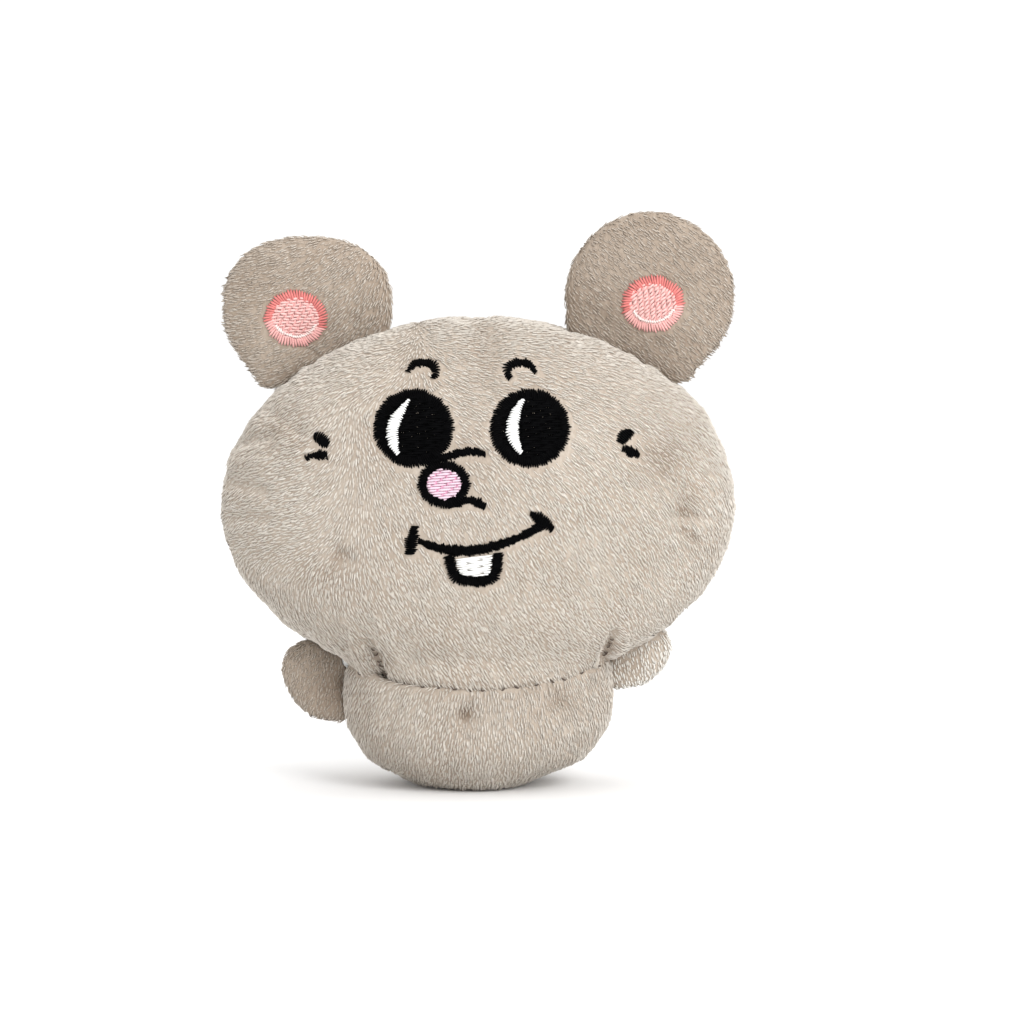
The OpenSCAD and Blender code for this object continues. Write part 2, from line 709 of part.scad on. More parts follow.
head_front_panel();
head_back_left_panel();
head_back_right_panel();
head_stuffing();
face_backing();
left_eye();
right_eye();
left_eye_highlight();
right_eye_highlight();
left_brow();
right_brow();
left_cheek_marks();
right_cheek_marks();
nose_fill();
nose_outline();
mouth_line();
tooth_fill();
tooth_outline();
dart_stitches();
closing_stitches();
left_ear_front_panel();
left_ear_back_panel();
left_ear_wadding();
left_ear_patch();
left_ear_ring();
right_ear_front_panel();
right_ear_back_panel();
right_ear_wadding();
right_ear_patch();
right_ear_ring();
body_front_panel();
body_back_panel();
base_panel();
body_stuffing();
neck_stitches();
left_arm_front_panel();
left_arm_back_panel();
left_arm_stuffing();
right_arm_front_panel();
right_arm_back_panel();
right_arm_stuffing();
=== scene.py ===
"""Small stuffed mouse: plush skins, pile, embroidery, seams, floor, light and camera."""

import json
import math
from itertools import product

import bmesh
import bpy
import numpy as np
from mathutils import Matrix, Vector
from mathutils.bvhtree import BVHTree
from mathutils.kdtree import KDTree


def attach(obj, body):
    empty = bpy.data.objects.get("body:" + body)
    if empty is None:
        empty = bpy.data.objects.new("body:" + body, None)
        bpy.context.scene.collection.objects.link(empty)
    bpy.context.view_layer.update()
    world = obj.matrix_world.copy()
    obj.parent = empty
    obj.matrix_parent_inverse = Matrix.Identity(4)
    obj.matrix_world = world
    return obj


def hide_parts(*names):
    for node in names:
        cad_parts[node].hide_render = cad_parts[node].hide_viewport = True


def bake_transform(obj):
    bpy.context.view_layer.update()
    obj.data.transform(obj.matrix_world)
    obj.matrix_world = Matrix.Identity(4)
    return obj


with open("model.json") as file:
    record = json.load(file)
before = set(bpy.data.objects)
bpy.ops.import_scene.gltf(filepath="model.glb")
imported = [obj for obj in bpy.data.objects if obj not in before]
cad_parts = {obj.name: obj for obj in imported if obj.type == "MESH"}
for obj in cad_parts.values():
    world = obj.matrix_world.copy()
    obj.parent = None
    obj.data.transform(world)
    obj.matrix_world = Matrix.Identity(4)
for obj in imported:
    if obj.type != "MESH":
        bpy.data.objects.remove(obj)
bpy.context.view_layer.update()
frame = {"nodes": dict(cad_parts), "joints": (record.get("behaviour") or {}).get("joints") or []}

MM = 0.001
dice = np.random.default_rng(7)


# ---- Camera ----

CAMERA_UP = math.radians(4)
CAMERA_AWAY = 0.7
LOOK_AT = Vector((5.9 * MM, 0, 47.8 * MM))
LENS, SENSOR = 140.6, 36
NEAREST, FURTHEST = 0.05, 20

bpy.ops.object.camera_add()
camera = bpy.context.active_object
camera.name = "camera"
camera.location = LOOK_AT + CAMERA_AWAY * Vector((0, -math.cos(CAMERA_UP), math.sin(CAMERA_UP)))
camera.rotation_euler = (math.radians(90) - CAMERA_UP, 0, 0)
camera.data.lens = LENS
camera.data.sensor_width = SENSOR
camera.data.clip_start = NEAREST
camera.data.clip_end = FURTHEST
bpy.context.scene.camera = camera
bpy.context.scene.view_settings.view_transform = "Standard"


# ---- Small tools of the bench ----


def lay_down_tools():
    bpy.ops.object.select_all(action="DESELECT")


def take(*pieces):
    """Makes these the selected pieces, the first of them the active one."""
    lay_down_tools()
    for piece in pieces:
        piece.select_set(True)
    bpy.context.view_layer.objects.active = pieces[0]
    return pieces[0]


def named(name):
    piece = bpy.context.active_object
    piece.name = name
    piece.data.name = name
    return piece


def edit_all():
    bpy.ops.object.mode_set(mode="EDIT")
    bpy.ops.mesh.select_all(action="SELECT")


def leave_edit():
    bpy.ops.object.mode_set(mode="OBJECT")


def add_modifier(piece, kind, **settings):
    take(piece)
    bpy.ops.object.modifier_add(type=kind)
    modifier = piece.modifiers[-1]
    for key, value in settings.items():
        setattr(modifier, key, value)
    bpy.ops.object.modifier_apply(modifier=modifier.name)


def subdivided(piece):
    add_modifier(piece, "SUBSURF", levels=1, render_levels=1)


def points_of(piece):
    co = np.empty(len(piece.data.vertices) * 3, np.float64)
    piece.data.vertices.foreach_get("co", co)
    return co.reshape(-1, 3)


def normals_of(piece):
    no = np.empty(len(piece.data.vertices) * 3, np.float32)
    piece.data.vertex_normals.foreach_get("vector", no)
    return no.reshape(-1, 3).astype(np.float64)


def put_points(piece, co):
    piece.data.vertices.foreach_set("co", np.ascontiguousarray(co, np.float32).ravel())
    piece.data.update()


def unit(vectors, least=0.0):
    return vectors / np.maximum(np.linalg.norm(vectors, axis=1, keepdims=True), least)


def spread(ways, lengths):
    """Each direction at every one of its lengths."""
    return ways[:, None] * lengths[..., None]


def tree_of(piece):
    return BVHTree.FromObject(piece, bpy.context.evaluated_depsgraph_get())


def own_copy(piece, name):
    """A copy of a form with its own mesh."""
    copy = piece.copy()
    copy.data = piece.data.copy()
    copy.name = copy.data.name = name
    bpy.context.scene.collection.objects.link(copy)
    return copy


def melted(piece):
    """The points and faces of a small shape, which itself is taken off the bench."""
    co = points_of(piece)
    faces = [tuple(p.vertices) for p in piece.data.polygons]
    bpy.data.objects.remove(piece)
    return co, faces


def merged_copy(name, nodes):
    """One mesh of its own from copies of the cut-out shapes, merged where they meet."""
    shapes = []
    for node in nodes:
        shape = bpy.data.objects.new(name, frame["nodes"][node].data.copy())
        bpy.context.scene.collection.objects.link(shape)
        shapes.append(shape)
    take(*shapes)
    if len(shapes) > 1:
        bpy.ops.object.join()
    edit_all()
    bpy.ops.mesh.remove_doubles(threshold=0.001 * MM)
    leave_edit()
    piece = named(name)
    piece.data.materials.clear()
    return piece


def keep_outer_shell(piece):
    """Leaves only the largest closed shell of a mesh."""
    mesh = bmesh.new()
    mesh.from_mesh(piece.data)
    mesh.verts.ensure_lookup_table()
    left = set(mesh.verts)
    shells = []
    while left:
        start = left.pop()
        shell, queue = {start}, [start]
        while queue:
            for edge in queue.pop().link_edges:
                for vert in edge.verts:
                    if vert in left:
                        left.discard(vert)
                        shell.add(vert)
                        queue.append(vert)
        shells.append(shell)
    shells.sort(key=lambda s: -(max(v.co.x for v in s) - min(v.co.x for v in s)))
    for shell in shells[1:]:
        bmesh.ops.delete(mesh, geom=list(shell), context="VERTS")
    mesh.to_mesh(piece.data)
    mesh.free()


def cloth_form(name, nodes, grain):
    """A closed, evenly gridded form over the cut-out shapes."""
    piece = merged_copy(name, nodes)
    add_modifier(piece, "REMESH", mode="VOXEL", voxel_size=grain * MM)
    keep_outer_shell(piece)
    take(piece)
    edit_all()
    bpy.ops.mesh.vertices_smooth(factor=0.5, repeat=3)
    leave_edit()
    return piece


# ---- Stuffing: the cloth swells between its seams ----


# The forms are simulated at this many times their size, where the cloth solver is steady
SIM_SCALE = 10
CLOTH_FRAMES = 20
CLOTH = dict(
    quality=6, mass=0.02, tension_stiffness=15, compression_stiffness=15, shear_stiffness=5,
    bending_stiffness=0.5, use_pressure=True, uniform_pressure_force=4.0, shrink_min=-0.04,
    vertex_group_mass="seam",
)


def stuffed(piece, seam_weight, cap):
    """Swells a form by cloth under pressure, held at its seams, and caps how far a point may move."""
    rest = points_of(piece)
    group = piece.vertex_groups.new(name="seam")
    for index, value in enumerate(seam_weight(rest)):
        if value > 0.01:
            group.add([index], float(value), "REPLACE")
    put_points(piece, rest * SIM_SCALE)
    take(piece)
    bpy.ops.object.modifier_add(type="CLOTH")
    cloth = piece.modifiers[-1]
    for key, value in CLOTH.items():
        setattr(cloth.settings, key, value)
    cloth.settings.effector_weights.gravity = 0
    cloth.collision_settings.use_collision = False
    cloth.point_cache.frame_start = 1
    cloth.point_cache.frame_end = CLOTH_FRAMES
    for number in range(1, CLOTH_FRAMES + 1):
        bpy.context.scene.frame_set(number)
    take(piece)
    bpy.ops.object.modifier_apply(modifier=cloth.name)
    bpy.context.scene.frame_set(1)
    piece.vertex_groups.clear()
    move = points_of(piece) / SIM_SCALE - rest
    length = np.linalg.norm(move, axis=1, keepdims=True)
    limit = cap * MM
    move *= limit * np.tanh(length / limit) / np.maximum(length, 1e-9)
    put_points(piece, rest + move)


def near(value, reach):
    """1 at nothing and fading to 0 past a reach in millimetres."""
    return np.exp(-((value / (reach * MM)) ** 2))


def grown(value, length):
    """0 below nothing, rising to 1 over a length in millimetres."""
    return np.clip(value / (length * MM), 0, 1)


EAR_Y = 0.8

head = cloth_form(
    "head_form",
    ["head_front_panel", "head_back_left_panel", "head_back_right_panel", "head_stuffing"],
    1.7,
)
stuffed(
    head,
    lambda p: np.maximum(
        np.maximum(near(p[:, 1], 1.2), near(np.where(p[:, 1] > 0, p[:, 0], 1), 1.2)),
        grown(25 * MM - p[:, 2], 3),
    ),
    2.5,
)
body = cloth_form("body_form", ["body_front_panel", "body_back_panel", "base_panel", "body_stuffing"], 1.5)
stuffed(
    body,
    lambda p: np.maximum(
        near(p[:, 1], 1.0),
        np.maximum(grown(3 * MM - p[:, 2], 1.5), grown(p[:, 2] - 15 * MM, 2)),
    ),
    1.5,
)
for side in ("left", "right"):
    for part, middle in (("ear", EAR_Y), ("arm", 0)):
        inner = "wadding" if part == "ear" else "stuffing"
        form = cloth_form(
            f"{side}_{part}_form",
            [f"{side}_{part}_front_panel", f"{side}_{part}_back_panel", f"{side}_{part}_{inner}"],
            1.0,
        )
        stuffed(form, lambda p, m=middle: near(p[:, 1] - m * MM, 0.8), 1.0)


# ---- Finishes ----


def new_material(name, colour, roughness, sheen=0.0, tint=(1, 1, 1), gloss=0.25):
    material = bpy.data.materials.new(name)
    material.use_nodes = True
    shader = material.node_tree.nodes["Principled BSDF"]
    shader.inputs["Base Color"].default_value = (*colour, 1)
    shader.inputs["Roughness"].default_value = roughness
    shader.inputs["Sheen Weight"].default_value = sheen
    shader.inputs["Sheen Roughness"].default_value = 0.4
    shader.inputs["Sheen Tint"].default_value = (*tint, 1)
    shader.inputs["Specular IOR Level"].default_value = gloss
    return material


def add_noise(material, size, stretch=(1, 1, 1), detail=3.0, turn=(0, 0, 0)):
    """A noise whose features are about a size in millimetres, in the piece's own coordinates."""
    nodes, links = material.node_tree.nodes, material.node_tree.links
    place = nodes.new("ShaderNodeTexCoord")
    mapping = nodes.new("ShaderNodeMapping")
    mapping.inputs["Scale"].default_value = stretch
    mapping.inputs["Rotation"].default_value = turn
    noise = nodes.new("ShaderNodeTexNoise")
    noise.inputs["Scale"].default_value = 1 / (size * MM)
    noise.inputs["Detail"].default_value = detail
    links.new(place.outputs["Object"], mapping.inputs["Vector"])
    links.new(mapping.outputs["Vector"], noise.inputs["Vector"])
    return noise.outputs["Fac"]


def add_colours(material, fac, stops):
    """Colours read from a ramp, whose stops are places and colours."""
    nodes, links = material.node_tree.nodes, material.node_tree.links
    ramp = nodes.new("ShaderNodeValToRGB")
    while len(ramp.color_ramp.elements) < len(stops):
        ramp.color_ramp.elements.new(0.5)
    for element, (place, colour) in zip(ramp.color_ramp.elements, stops):
        element.position = place
        element.color = (*colour, 1)
    links.new(fac, ramp.inputs["Fac"])
    return ramp.outputs["Color"]


def multiplied(material, first, second):
    nodes, links = material.node_tree.nodes, material.node_tree.links
    mix = nodes.new("ShaderNodeMix")
    mix.data_type = "RGBA"
    mix.blend_type = "MULTIPLY"
    mix.inputs["Factor"].default_value = 1.0
    links.new(first, mix.inputs[6])
    links.new(second, mix.inputs[7])
    return mix.outputs[2]


def finish_with(material, colour, bump, strength, depth):
    """Joins a colour and a bump, whose depth is in millimetres, to the shader."""
    nodes, links = material.node_tree.nodes, material.node_tree.links
    shader = nodes["Principled BSDF"]
    node = nodes.new("ShaderNodeBump")
    node.inputs["Strength"].default_value = strength
    node.inputs["Distance"].default_value = depth * MM
    links.new(bump, node.inputs["Height"])
    links.new(node.outputs["Normal"], shader.inputs["Normal"])
    links.new(colour, shader.inputs["Base Color"])
    return material


def scaled(colour, share):
    return tuple(min(1.0, c * share) for c in colour)


PLUSH = (0.6, 0.552, 0.492)
# shares of the plush colour for the pile's shades; the lightest, 1.28, is painted light for the left arm
PILE_SHADES = (0.56, 0.64, 0.72, 0.79, 0.86, 0.93, 1.0, 1.06, 1.12, 1.28)


def dimmed(share):
    """The plush colour at a share of its lightness: darker pile is also a little browner."""
    return tuple(min(1.0, c * share**power) for c, power in zip(PLUSH, (1, 1.22, 1.42)))


def plush_skin(name, low, high):
    """The knitted ground and the roots of the pile, darker than the tufts as painted shade under the pile:
    mottled, ribbed, and with more painted shade in puckers, dimples and the other darkened spots.
    """
    material = new_material(name, dimmed(high), 0.95, 0.2, (1, 0.97, 0.93), 0.1)
    stops = [(0.3, dimmed(low)), (0.7, dimmed(high))]
    mottle = add_colours(material, add_noise(material, 9, detail=4), stops)
    stops = [(0.3, (0.8, 0.78, 0.76)), (0.65, (1, 1, 1))]
    roots = add_colours(material, add_noise(material, 0.55, (1, 1, 0.45), 2), stops)
    colour = multiplied(material, mottle, roots)
    # a point attribute darkens the colour here: painted shade in puckers, dimples and other darkened spots
    painted_shade = material.node_tree.nodes.new("ShaderNodeAttribute")
    painted_shade.attribute_name = "painted_shade"
    darker = add_colours(material, painted_shade.outputs["Fac"], [(0, (1, 1, 1)), (1, (0.42, 0.36, 0.31))])
    colour = multiplied(material, colour, darker)
    return finish_with(material, colour, add_noise(material, 0.5, (1, 1, 0.5), 2), 0.7, 0.25)


def thread(name, colour, share, roughness=0.4, gloss=0.25):
    """Twisted embroidery thread with a slight gloss and a little unevenness of dye."""
    material = new_material(name, colour, roughness, gloss=gloss)
    stops = [(0.3, scaled(colour, share)), (0.7, scaled(colour, 2 - share))]
    shades = add_colours(material, add_noise(material, 1.1, detail=3), stops)
    return finish_with(material, shades, add_noise(material, 0.16, detail=2), 0.5, 0.05)


def fibre(name, colour, size):
    """Loose fibre or felt, finely mottled and matt."""
    material = new_material(name, colour, 0.9, 0.4)
    stops = [(0.35, scaled(colour, 0.85)), (0.65, colour)]
    shades = add_colours(material, add_noise(material, size, detail=5), stops)
    return finish_with(material, shades, add_noise(material, size / 3, detail=4), 0.8, 0.4)


# the ground under the pile is darker than its tufts: painted shade between the tufts
ground = plush_skin("plush_ground", 0.67, 0.79)
# a darker ground still: painted shade under the right arm's pile, and under the ears it matches their darker
# pile
shaded_ground = plush_skin("plush_ground_shaded", 0.54, 0.64)
shades = [
    new_material(f"pile_shade_{number + 1}", dimmed(share), 0.85, 0.2, (1, 0.97, 0.93), 0.15)
    for number, share in enumerate(PILE_SHADES)
]
black_thread = thread("black_thread", (0.0016, 0.0016, 0.0018), 0.6, 0.6, 0.015)
white_thread = thread("white_thread", (0.8, 0.8, 0.78), 0.95)
pink_thread = thread("pink_thread", (0.69, 0.52, 0.6), 0.95)
deep_pink_thread = thread("deep_pink_thread", (0.66, 0.3, 0.44), 0.92)
rose_thread = thread("rose_thread", (0.74, 0.39, 0.37), 0.9)
coral_thread = thread("coral_thread", (0.62, 0.19, 0.175), 0.82)
blush_thread = thread("blush_thread", (0.74, 0.465, 0.44), 0.94)
pale_thread = thread("pale_rose_thread", (0.82, 0.68, 0.65), 0.96)
seam_thread = thread("seam_thread", (0.11, 0.085, 0.07), 0.8, 0.7, 0.1)
fibre_fill = fibre("fibre_fill", (0.86, 0.86, 0.84), 2.5)
backing_cloth = fibre("backing_cloth", (0.84, 0.84, 0.82), 0.8)


# ---- Shape of the sewn skins ----


def to_segment(p, a, b):
    """Distance of points in a plane from a line between two points."""
    d = b - a
    t = np.clip(((p - a) @ d) / (d @ d), 0, 1)
    return np.linalg.norm(p - (a + t[:, None] * d), axis=1)


def press_front(piece, marks):
    """Moves the front of a skin in or out along lines, each x, z, x, z, reach and depth in millimetres."""
    co, no = points_of(piece), normals_of(piece)
    flat = co[:, [0, 2]]
    front = np.clip(-no[:, 1] * 3, 0, 1)
    move = np.zeros(len(co))
    for x0, z0, x1, z1, reach, depth in marks:
        away = to_segment(flat, np.array((x0, z0)) * MM, np.array((x1, z1)) * MM)
        move += depth * MM * near(away, reach) * front
    put_points(piece, co - no * move[:, None])


def draw_in(piece, depth):
    """Moves a whole skin in along its normals, by a depth in millimetres for every point."""
    put_points(piece, points_of(piece) - normals_of(piece) * (np.asarray(depth) * MM).reshape(-1, 1))


def smoothstep(value, low, high):
    t = np.clip((value - low) / (high - low), 0, 1)
    return t * t * (3 - 2 * t)


# how far every skin is drawn in, to leave room for its pile
PILE_H = 0.28
# x, z, x, z, reach and depth of each crease, pucker and dimple
HEAD_MARKS = [
    # darts at the neck, each with a soft fold beside it
    (-18.6, 26.8, -17.4, 23.6, 0.9, 1.1),
    (-17.4, 23.6, -15.2, 19.6, 0.9, 1.1),
    (-20.6, 25.2, -17.4, 20, 1.4, -0.7),
    (23.4, 28.2, 21.6, 22.5, 0.9, 1.1),
    (25.4, 28.4, 24.2, 25, 1.4, -0.4),
    # a shallow hollow under the crown
    (1, 81, 1.2, 73, 4.5, 1.1),
    (1.4, 81.5, 1.4, 77, 1.2, 0.45),
    # puckers by the side seams
    (34.6, 48.4, 40, 48, 1, 0.4),
    (34.9, 46.1, 37.9, 44, 1, 0.45),
    (36.4, 53, 34.9, 49.3, 2, 0.6),
    (38.5, 59, 37, 54.5, 2.6, 0.6),
    (29.5, 59.5, 32.5, 56, 3.6, 0.7),
    (-44, 59.6, -35.5, 62.2, 1.2, 0.9),
    (-44.5, 54, -36.5, 53, 1.2, 0.8),
    (-43, 57, -37, 57.6, 1.4, -0.5),
    (-43, 47.5, -36, 48, 1.2, 0.6),
    (-36, 66, -31, 63.5, 2, 0.7),
    # dimples of the cheek and the forehead
    (-23.6, 42.4, -22.2, 41.6, 1.7, 1),
    (30, 37, 33, 40, 3.5, 0.4),
    (-12.5, 78, -12.5, 74, 3, 0.5),
]
BODY_MARKS = [
    (-2.4, 14, -1.4, 14.2, 1.4, 0.7),
    (13, 15.4, 15.4, 16.2, 1.8, 0.8),
    (9.5, 14, 10, 15.5, 1.4, 0.4),
]

# how much the head's lower end swells into the neck seam, and its left shoulder beside the ear
NECK_FULL = 3.6
LEFT_SHOULDER_OUT = 1.0
# the foot of the body narrows towards the sole: the share of its width lost above the sole, and at it
FOOT = {"left": (0.05, 0.3), "right": (0.02, 0.12)}
# the outer corner of each ear's root is pushed out: x, z, and the push in x and z
EAR_CORNERS = {"left": (34.5, 70.5, 1.6, -1.4), "right": (-35.5, 70.5, -2.2, -1.6)}
# how far each arm's tip is drawn in, and how each arm is raised: by a height and by a slope
ARM_TIP_IN = {"left": 1.0, "right": 0.5}
ARM_RISE = {"left": (4.8, 0.25), "right": (1.6, 0.3)}

subdivided(head)
co = points_of(head)
seams = 0.55 * near(co[:, 1], 0.9) + np.where(co[:, 1] > 0, 0.5, 0) * near(co[:, 0], 0.9)
draw_in(head, PILE_H + seams * smoothstep(co[:, 2], 24 * MM, 30 * MM))
press_front(head, HEAD_MARKS)
co = points_of(head)
outward = unit(np.stack((co[:, 0], co[:, 1], 0 * co[:, 0]), axis=1), 5 * MM)
co += outward * (NECK_FULL * MM * (1 - smoothstep(co[:, 2], 15 * MM, 25 * MM)))[:, None]
co[:, 0] += LEFT_SHOULDER_OUT * MM * smoothstep(co[:, 0], 22 * MM, 38 * MM) * near(co[:, 2] - 67 * MM, 6)
put_points(head, co)

subdivided(body)
co = points_of(body)
draw_in(body, PILE_H * smoothstep(co[:, 2], 0.3 * MM, 2.5 * MM) + 0.3 * near(co[:, 1], 0.8))
press_front(body, BODY_MARKS)
co = points_of(body)
for sign, (near_foot, at_sole) in ((1, FOOT["left"]), (-1, FOOT["right"])):
    narrow = near_foot * (1 - smoothstep(co[:, 2], 6 * MM, 14 * MM))
    narrow += at_sole * (1 - smoothstep(co[:, 2], 0, 6 * MM))
    co[:, 0] *= 1 - narrow * (sign * co[:, 0] > 0)
put_points(body, co)
co = points_of(body)
rise = 1.4 + 2.6 * smoothstep(co[:, 0], 6 * MM, 21 * MM) + 0.6 * smoothstep(-co[:, 0], 10 * MM, 21 * MM)
co[:, 1] *= 1 + 0.03 * smoothstep(co[:, 2], 12 * MM, 18 * MM)
co[:, 2] += rise * MM * smoothstep(co[:, 2], 10 * MM, 19 * MM)
put_points(body, co)

HEAD_Z, HEAD_HALF, CROWN = 49 * MM, 44.8 * MM, 33 * MM
# how far the root of an ear reaches into the head, and that of an arm into the body
EAR_ROOT_IN, ARM_ROOT_IN = 3.2, 3
limbs = {}
for side, sign in (("left", 1), ("right", -1)):
    ear = bpy.data.objects[f"{side}_ear_form"]
    subdivided(ear)
    draw_in(ear, PILE_H + 0.25 * near(points_of(ear)[:, 1] - EAR_Y * MM, 0.7))
    co = points_of(ear)
    reach = np.hypot(co[:, 0] / HEAD_HALF, (co[:, 2] - HEAD_Z) / CROWN)
    root = 1 - smoothstep(reach, 1.02, 1.12)
    inward = np.array((0, 0, HEAD_Z)) - co
    inward[:, 1] = 0
    co += unit(inward) * (root * EAR_ROOT_IN * MM)[:, None]
    x, z, push_x, push_z = EAR_CORNERS[side]
    corner = near(np.hypot(co[:, 0] - x * MM, co[:, 2] - z * MM), 4)
    co += corner[:, None] * np.array((push_x, 0, push_z)) * MM
    put_points(ear, co)
    arm = bpy.data.objects[f"{side}_arm_form"]
    subdivided(arm)
    draw_in(arm, PILE_H + 0.2 * near(points_of(arm)[:, 1], 0.7))
    co = points_of(arm)
    root = 1 - smoothstep(np.abs(co[:, 0]), 25 * MM, 28 * MM)
    co[:, 0] -= sign * root * ARM_ROOT_IN * MM
    co[:, 0] -= sign * ARM_TIP_IN[side] * MM * smoothstep(np.abs(co[:, 0]), 26 * MM, 33 * MM)
    if side == "right":
        corner = near(np.hypot(co[:, 0] + 33 * MM, co[:, 2] - 25.5 * MM), 4)
        co += corner[:, None] * np.array((1.3, 0, -1.0)) * MM
    rise, slope = ARM_RISE[side]
    co[:, 2] += rise * MM + slope * (np.abs(co[:, 0]) - 24 * MM)
    put_points(arm, co)
    limbs[side] = (ear, arm)


# ---- Panels: each form is cut at its seams ----


def half_of(piece, point, way):
    """Cuts away what lies past a plane, on the side that a direction points to."""
    take(piece)
    edit_all()
    bpy.ops.mesh.bisect(plane_co=point, plane_no=way, clear_outer=True)
    leave_edit()


# the outer side of every panel, before it gets its wall: points, normals and triangles
outer_faces = {}


def panel(form, name, cuts, thick=0.7, cloth=None):
    """A panel: what its cuts leave of a form, given a wall. A cut is a place in millimetres and a way."""
    piece = own_copy(form, name)
    for point, way in cuts:
        half_of(piece, [c * MM for c in point], way)
    take(piece)
    bpy.ops.object.shade_smooth()
    piece.data.calc_loop_triangles()
    tris = np.array([t.vertices[:] for t in piece.data.loop_triangles])
    outer_faces[name] = (points_of(piece), normals_of(piece), tris)
    add_modifier(piece, "SOLIDIFY", thickness=thick * MM, offset=-1)
    piece.data.materials.append(cloth or ground)
    return piece


MIDDLE = (0, 0, 0)
head_front = panel(head, "head_front_skin", [(MIDDLE, (0, 1, 0))])
head_back_left = panel(head, "head_back_left_skin", [(MIDDLE, (0, -1, 0)), (MIDDLE, (-1, 0, 0))])
head_back_right = panel(head, "head_back_right_skin", [(MIDDLE, (0, -1, 0)), (MIDDLE, (1, 0, 0))])
SOLE = (0, 0, 0.9)
body_front = panel(body, "body_front_skin", [(MIDDLE, (0, 1, 0)), (SOLE, (0, 0, -1))])
body_back = panel(body, "body_back_skin", [(MIDDLE, (0, -1, 0)), (SOLE, (0, 0, -1))])
base = panel(body, "base_skin", [(SOLE, (0, 0, 1))])

TRUNK = ("body", "head")
neck = {"start": (0, 0, 15 * MM), "end": (0, 0, 31 * MM)}


def sewn(piece, bodies, ends, nodes):
    """Hides the cut-out parts a piece stands for; without ends it is attached to the body it moves with, and
    with ends its place is baked into its mesh.
    """
    if ends:
        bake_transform(piece)
    else:
        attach(piece, bodies)
    if nodes:
        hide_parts(*nodes)
    return piece


# ---- Pile: tufts that lie along the nap ----


def nap_angle(x, z, zone):
    """The way the pile lies, as an angle in the plane of the face, for points in millimetres."""
    if zone == "head":
        right = -60 + 0.3 * x + 38 * smoothstep(z, 48, 74)
        leftward = smoothstep(-x, 14, 32) * smoothstep(z, 28, 46)
        leftward = np.maximum(leftward, smoothstep(-x, 2, 22) * smoothstep(z, 62, 72))
        return right + (-168 - right) * leftward
    if zone == "body":
        return -92 + 1.5 * x
    if zone == "left_ear":
        return -38 + 0 * x
    if zone == "right_ear":
        return -150 + 2.2 * (x + 30) + 0 * z
    return (-75 if zone == "left_arm" else -112) + 0 * x


def tuft_shape():
    """One tuft: a pointed three-sided leaf. Returns its points as (along, across, up) and its faces."""
    bpy.ops.mesh.primitive_cylinder_add(vertices=3, radius=1, depth=0.42, end_fill_type="TRIFAN")
    piece = named("tuft")
    bpy.ops.object.mode_set(mode="EDIT")
    mesh = bmesh.from_edit_mesh(piece.data)
    for pick, move, width in (
        (lambda co: co.z > 0 and co.xy.length < 0.1, 0.31, 1),
        (lambda co: co.z < 0 and co.xy.length < 0.1, -0.27, 1),
        (lambda co: 0 < co.z < 0.3, 0, 0.72),
    ):
        for vert in mesh.verts:
            vert.select = pick(vert.co)
        mesh.select_flush_mode()
        bmesh.update_edit_mesh(piece.data)
        bpy.ops.transform.resize(value=(width, width, 1))
        bpy.ops.transform.translate(value=(0, 0, move))
    bpy.ops.mesh.select_all(action="SELECT")
    bpy.ops.mesh.quads_convert_to_tris()
    leave_edit()
    co, faces = melted(piece)
    along = co[:, 2] - co[:, 2].min()
    return np.stack((along / along.max(), co[:, 0], co[:, 1]), axis=1), faces


TUFT, TUFT_FACES = tuft_shape()
# tufts are spaced this far across and along the nap, and stand this high
ACROSS, ALONG, TUFT_HEIGHT = 0.3, 0.85, 0.24
TUFT_WIDTH, TUFT_THICKNESS = 0.185, 0.1
# how many places are tried for each tuft that finds room
TRIES = 2.6


def joined_copies(name, points, faces, material_of=None, materials=()):
    """One mesh from copies of a shape, each with its own points."""
    copies, size = points.shape[0], points.shape[1]
    mesh = bpy.data.meshes.new(name)
    mesh.vertices.add(copies * size)
    mesh.vertices.foreach_set("co", points.astype(np.float32).ravel())
    lengths = np.array([len(f) for f in faces])
    corners = np.concatenate([np.array(f) for f in faces])
    loops = (corners[None, :] + (np.arange(copies) * size)[:, None]).ravel()
    totals = np.tile(lengths, copies)
    mesh.loops.add(len(loops))
    mesh.loops.foreach_set("vertex_index", loops.astype(np.int32))
    mesh.polygons.add(len(totals))
    mesh.polygons.foreach_set("loop_start", (np.cumsum(totals) - totals).astype(np.int32))
    for material in materials:
        mesh.materials.append(material)
    if material_of is not None:
        mesh.polygons.foreach_set("material_index", np.repeat(material_of, len(faces)).astype(np.int32))
    mesh.polygons.foreach_set("use_smooth", np.ones(len(totals), bool))
    mesh.update()
    mesh.validate()
    piece = bpy.data.objects.new(name, mesh)
    bpy.context.scene.collection.objects.link(piece)
    return piece


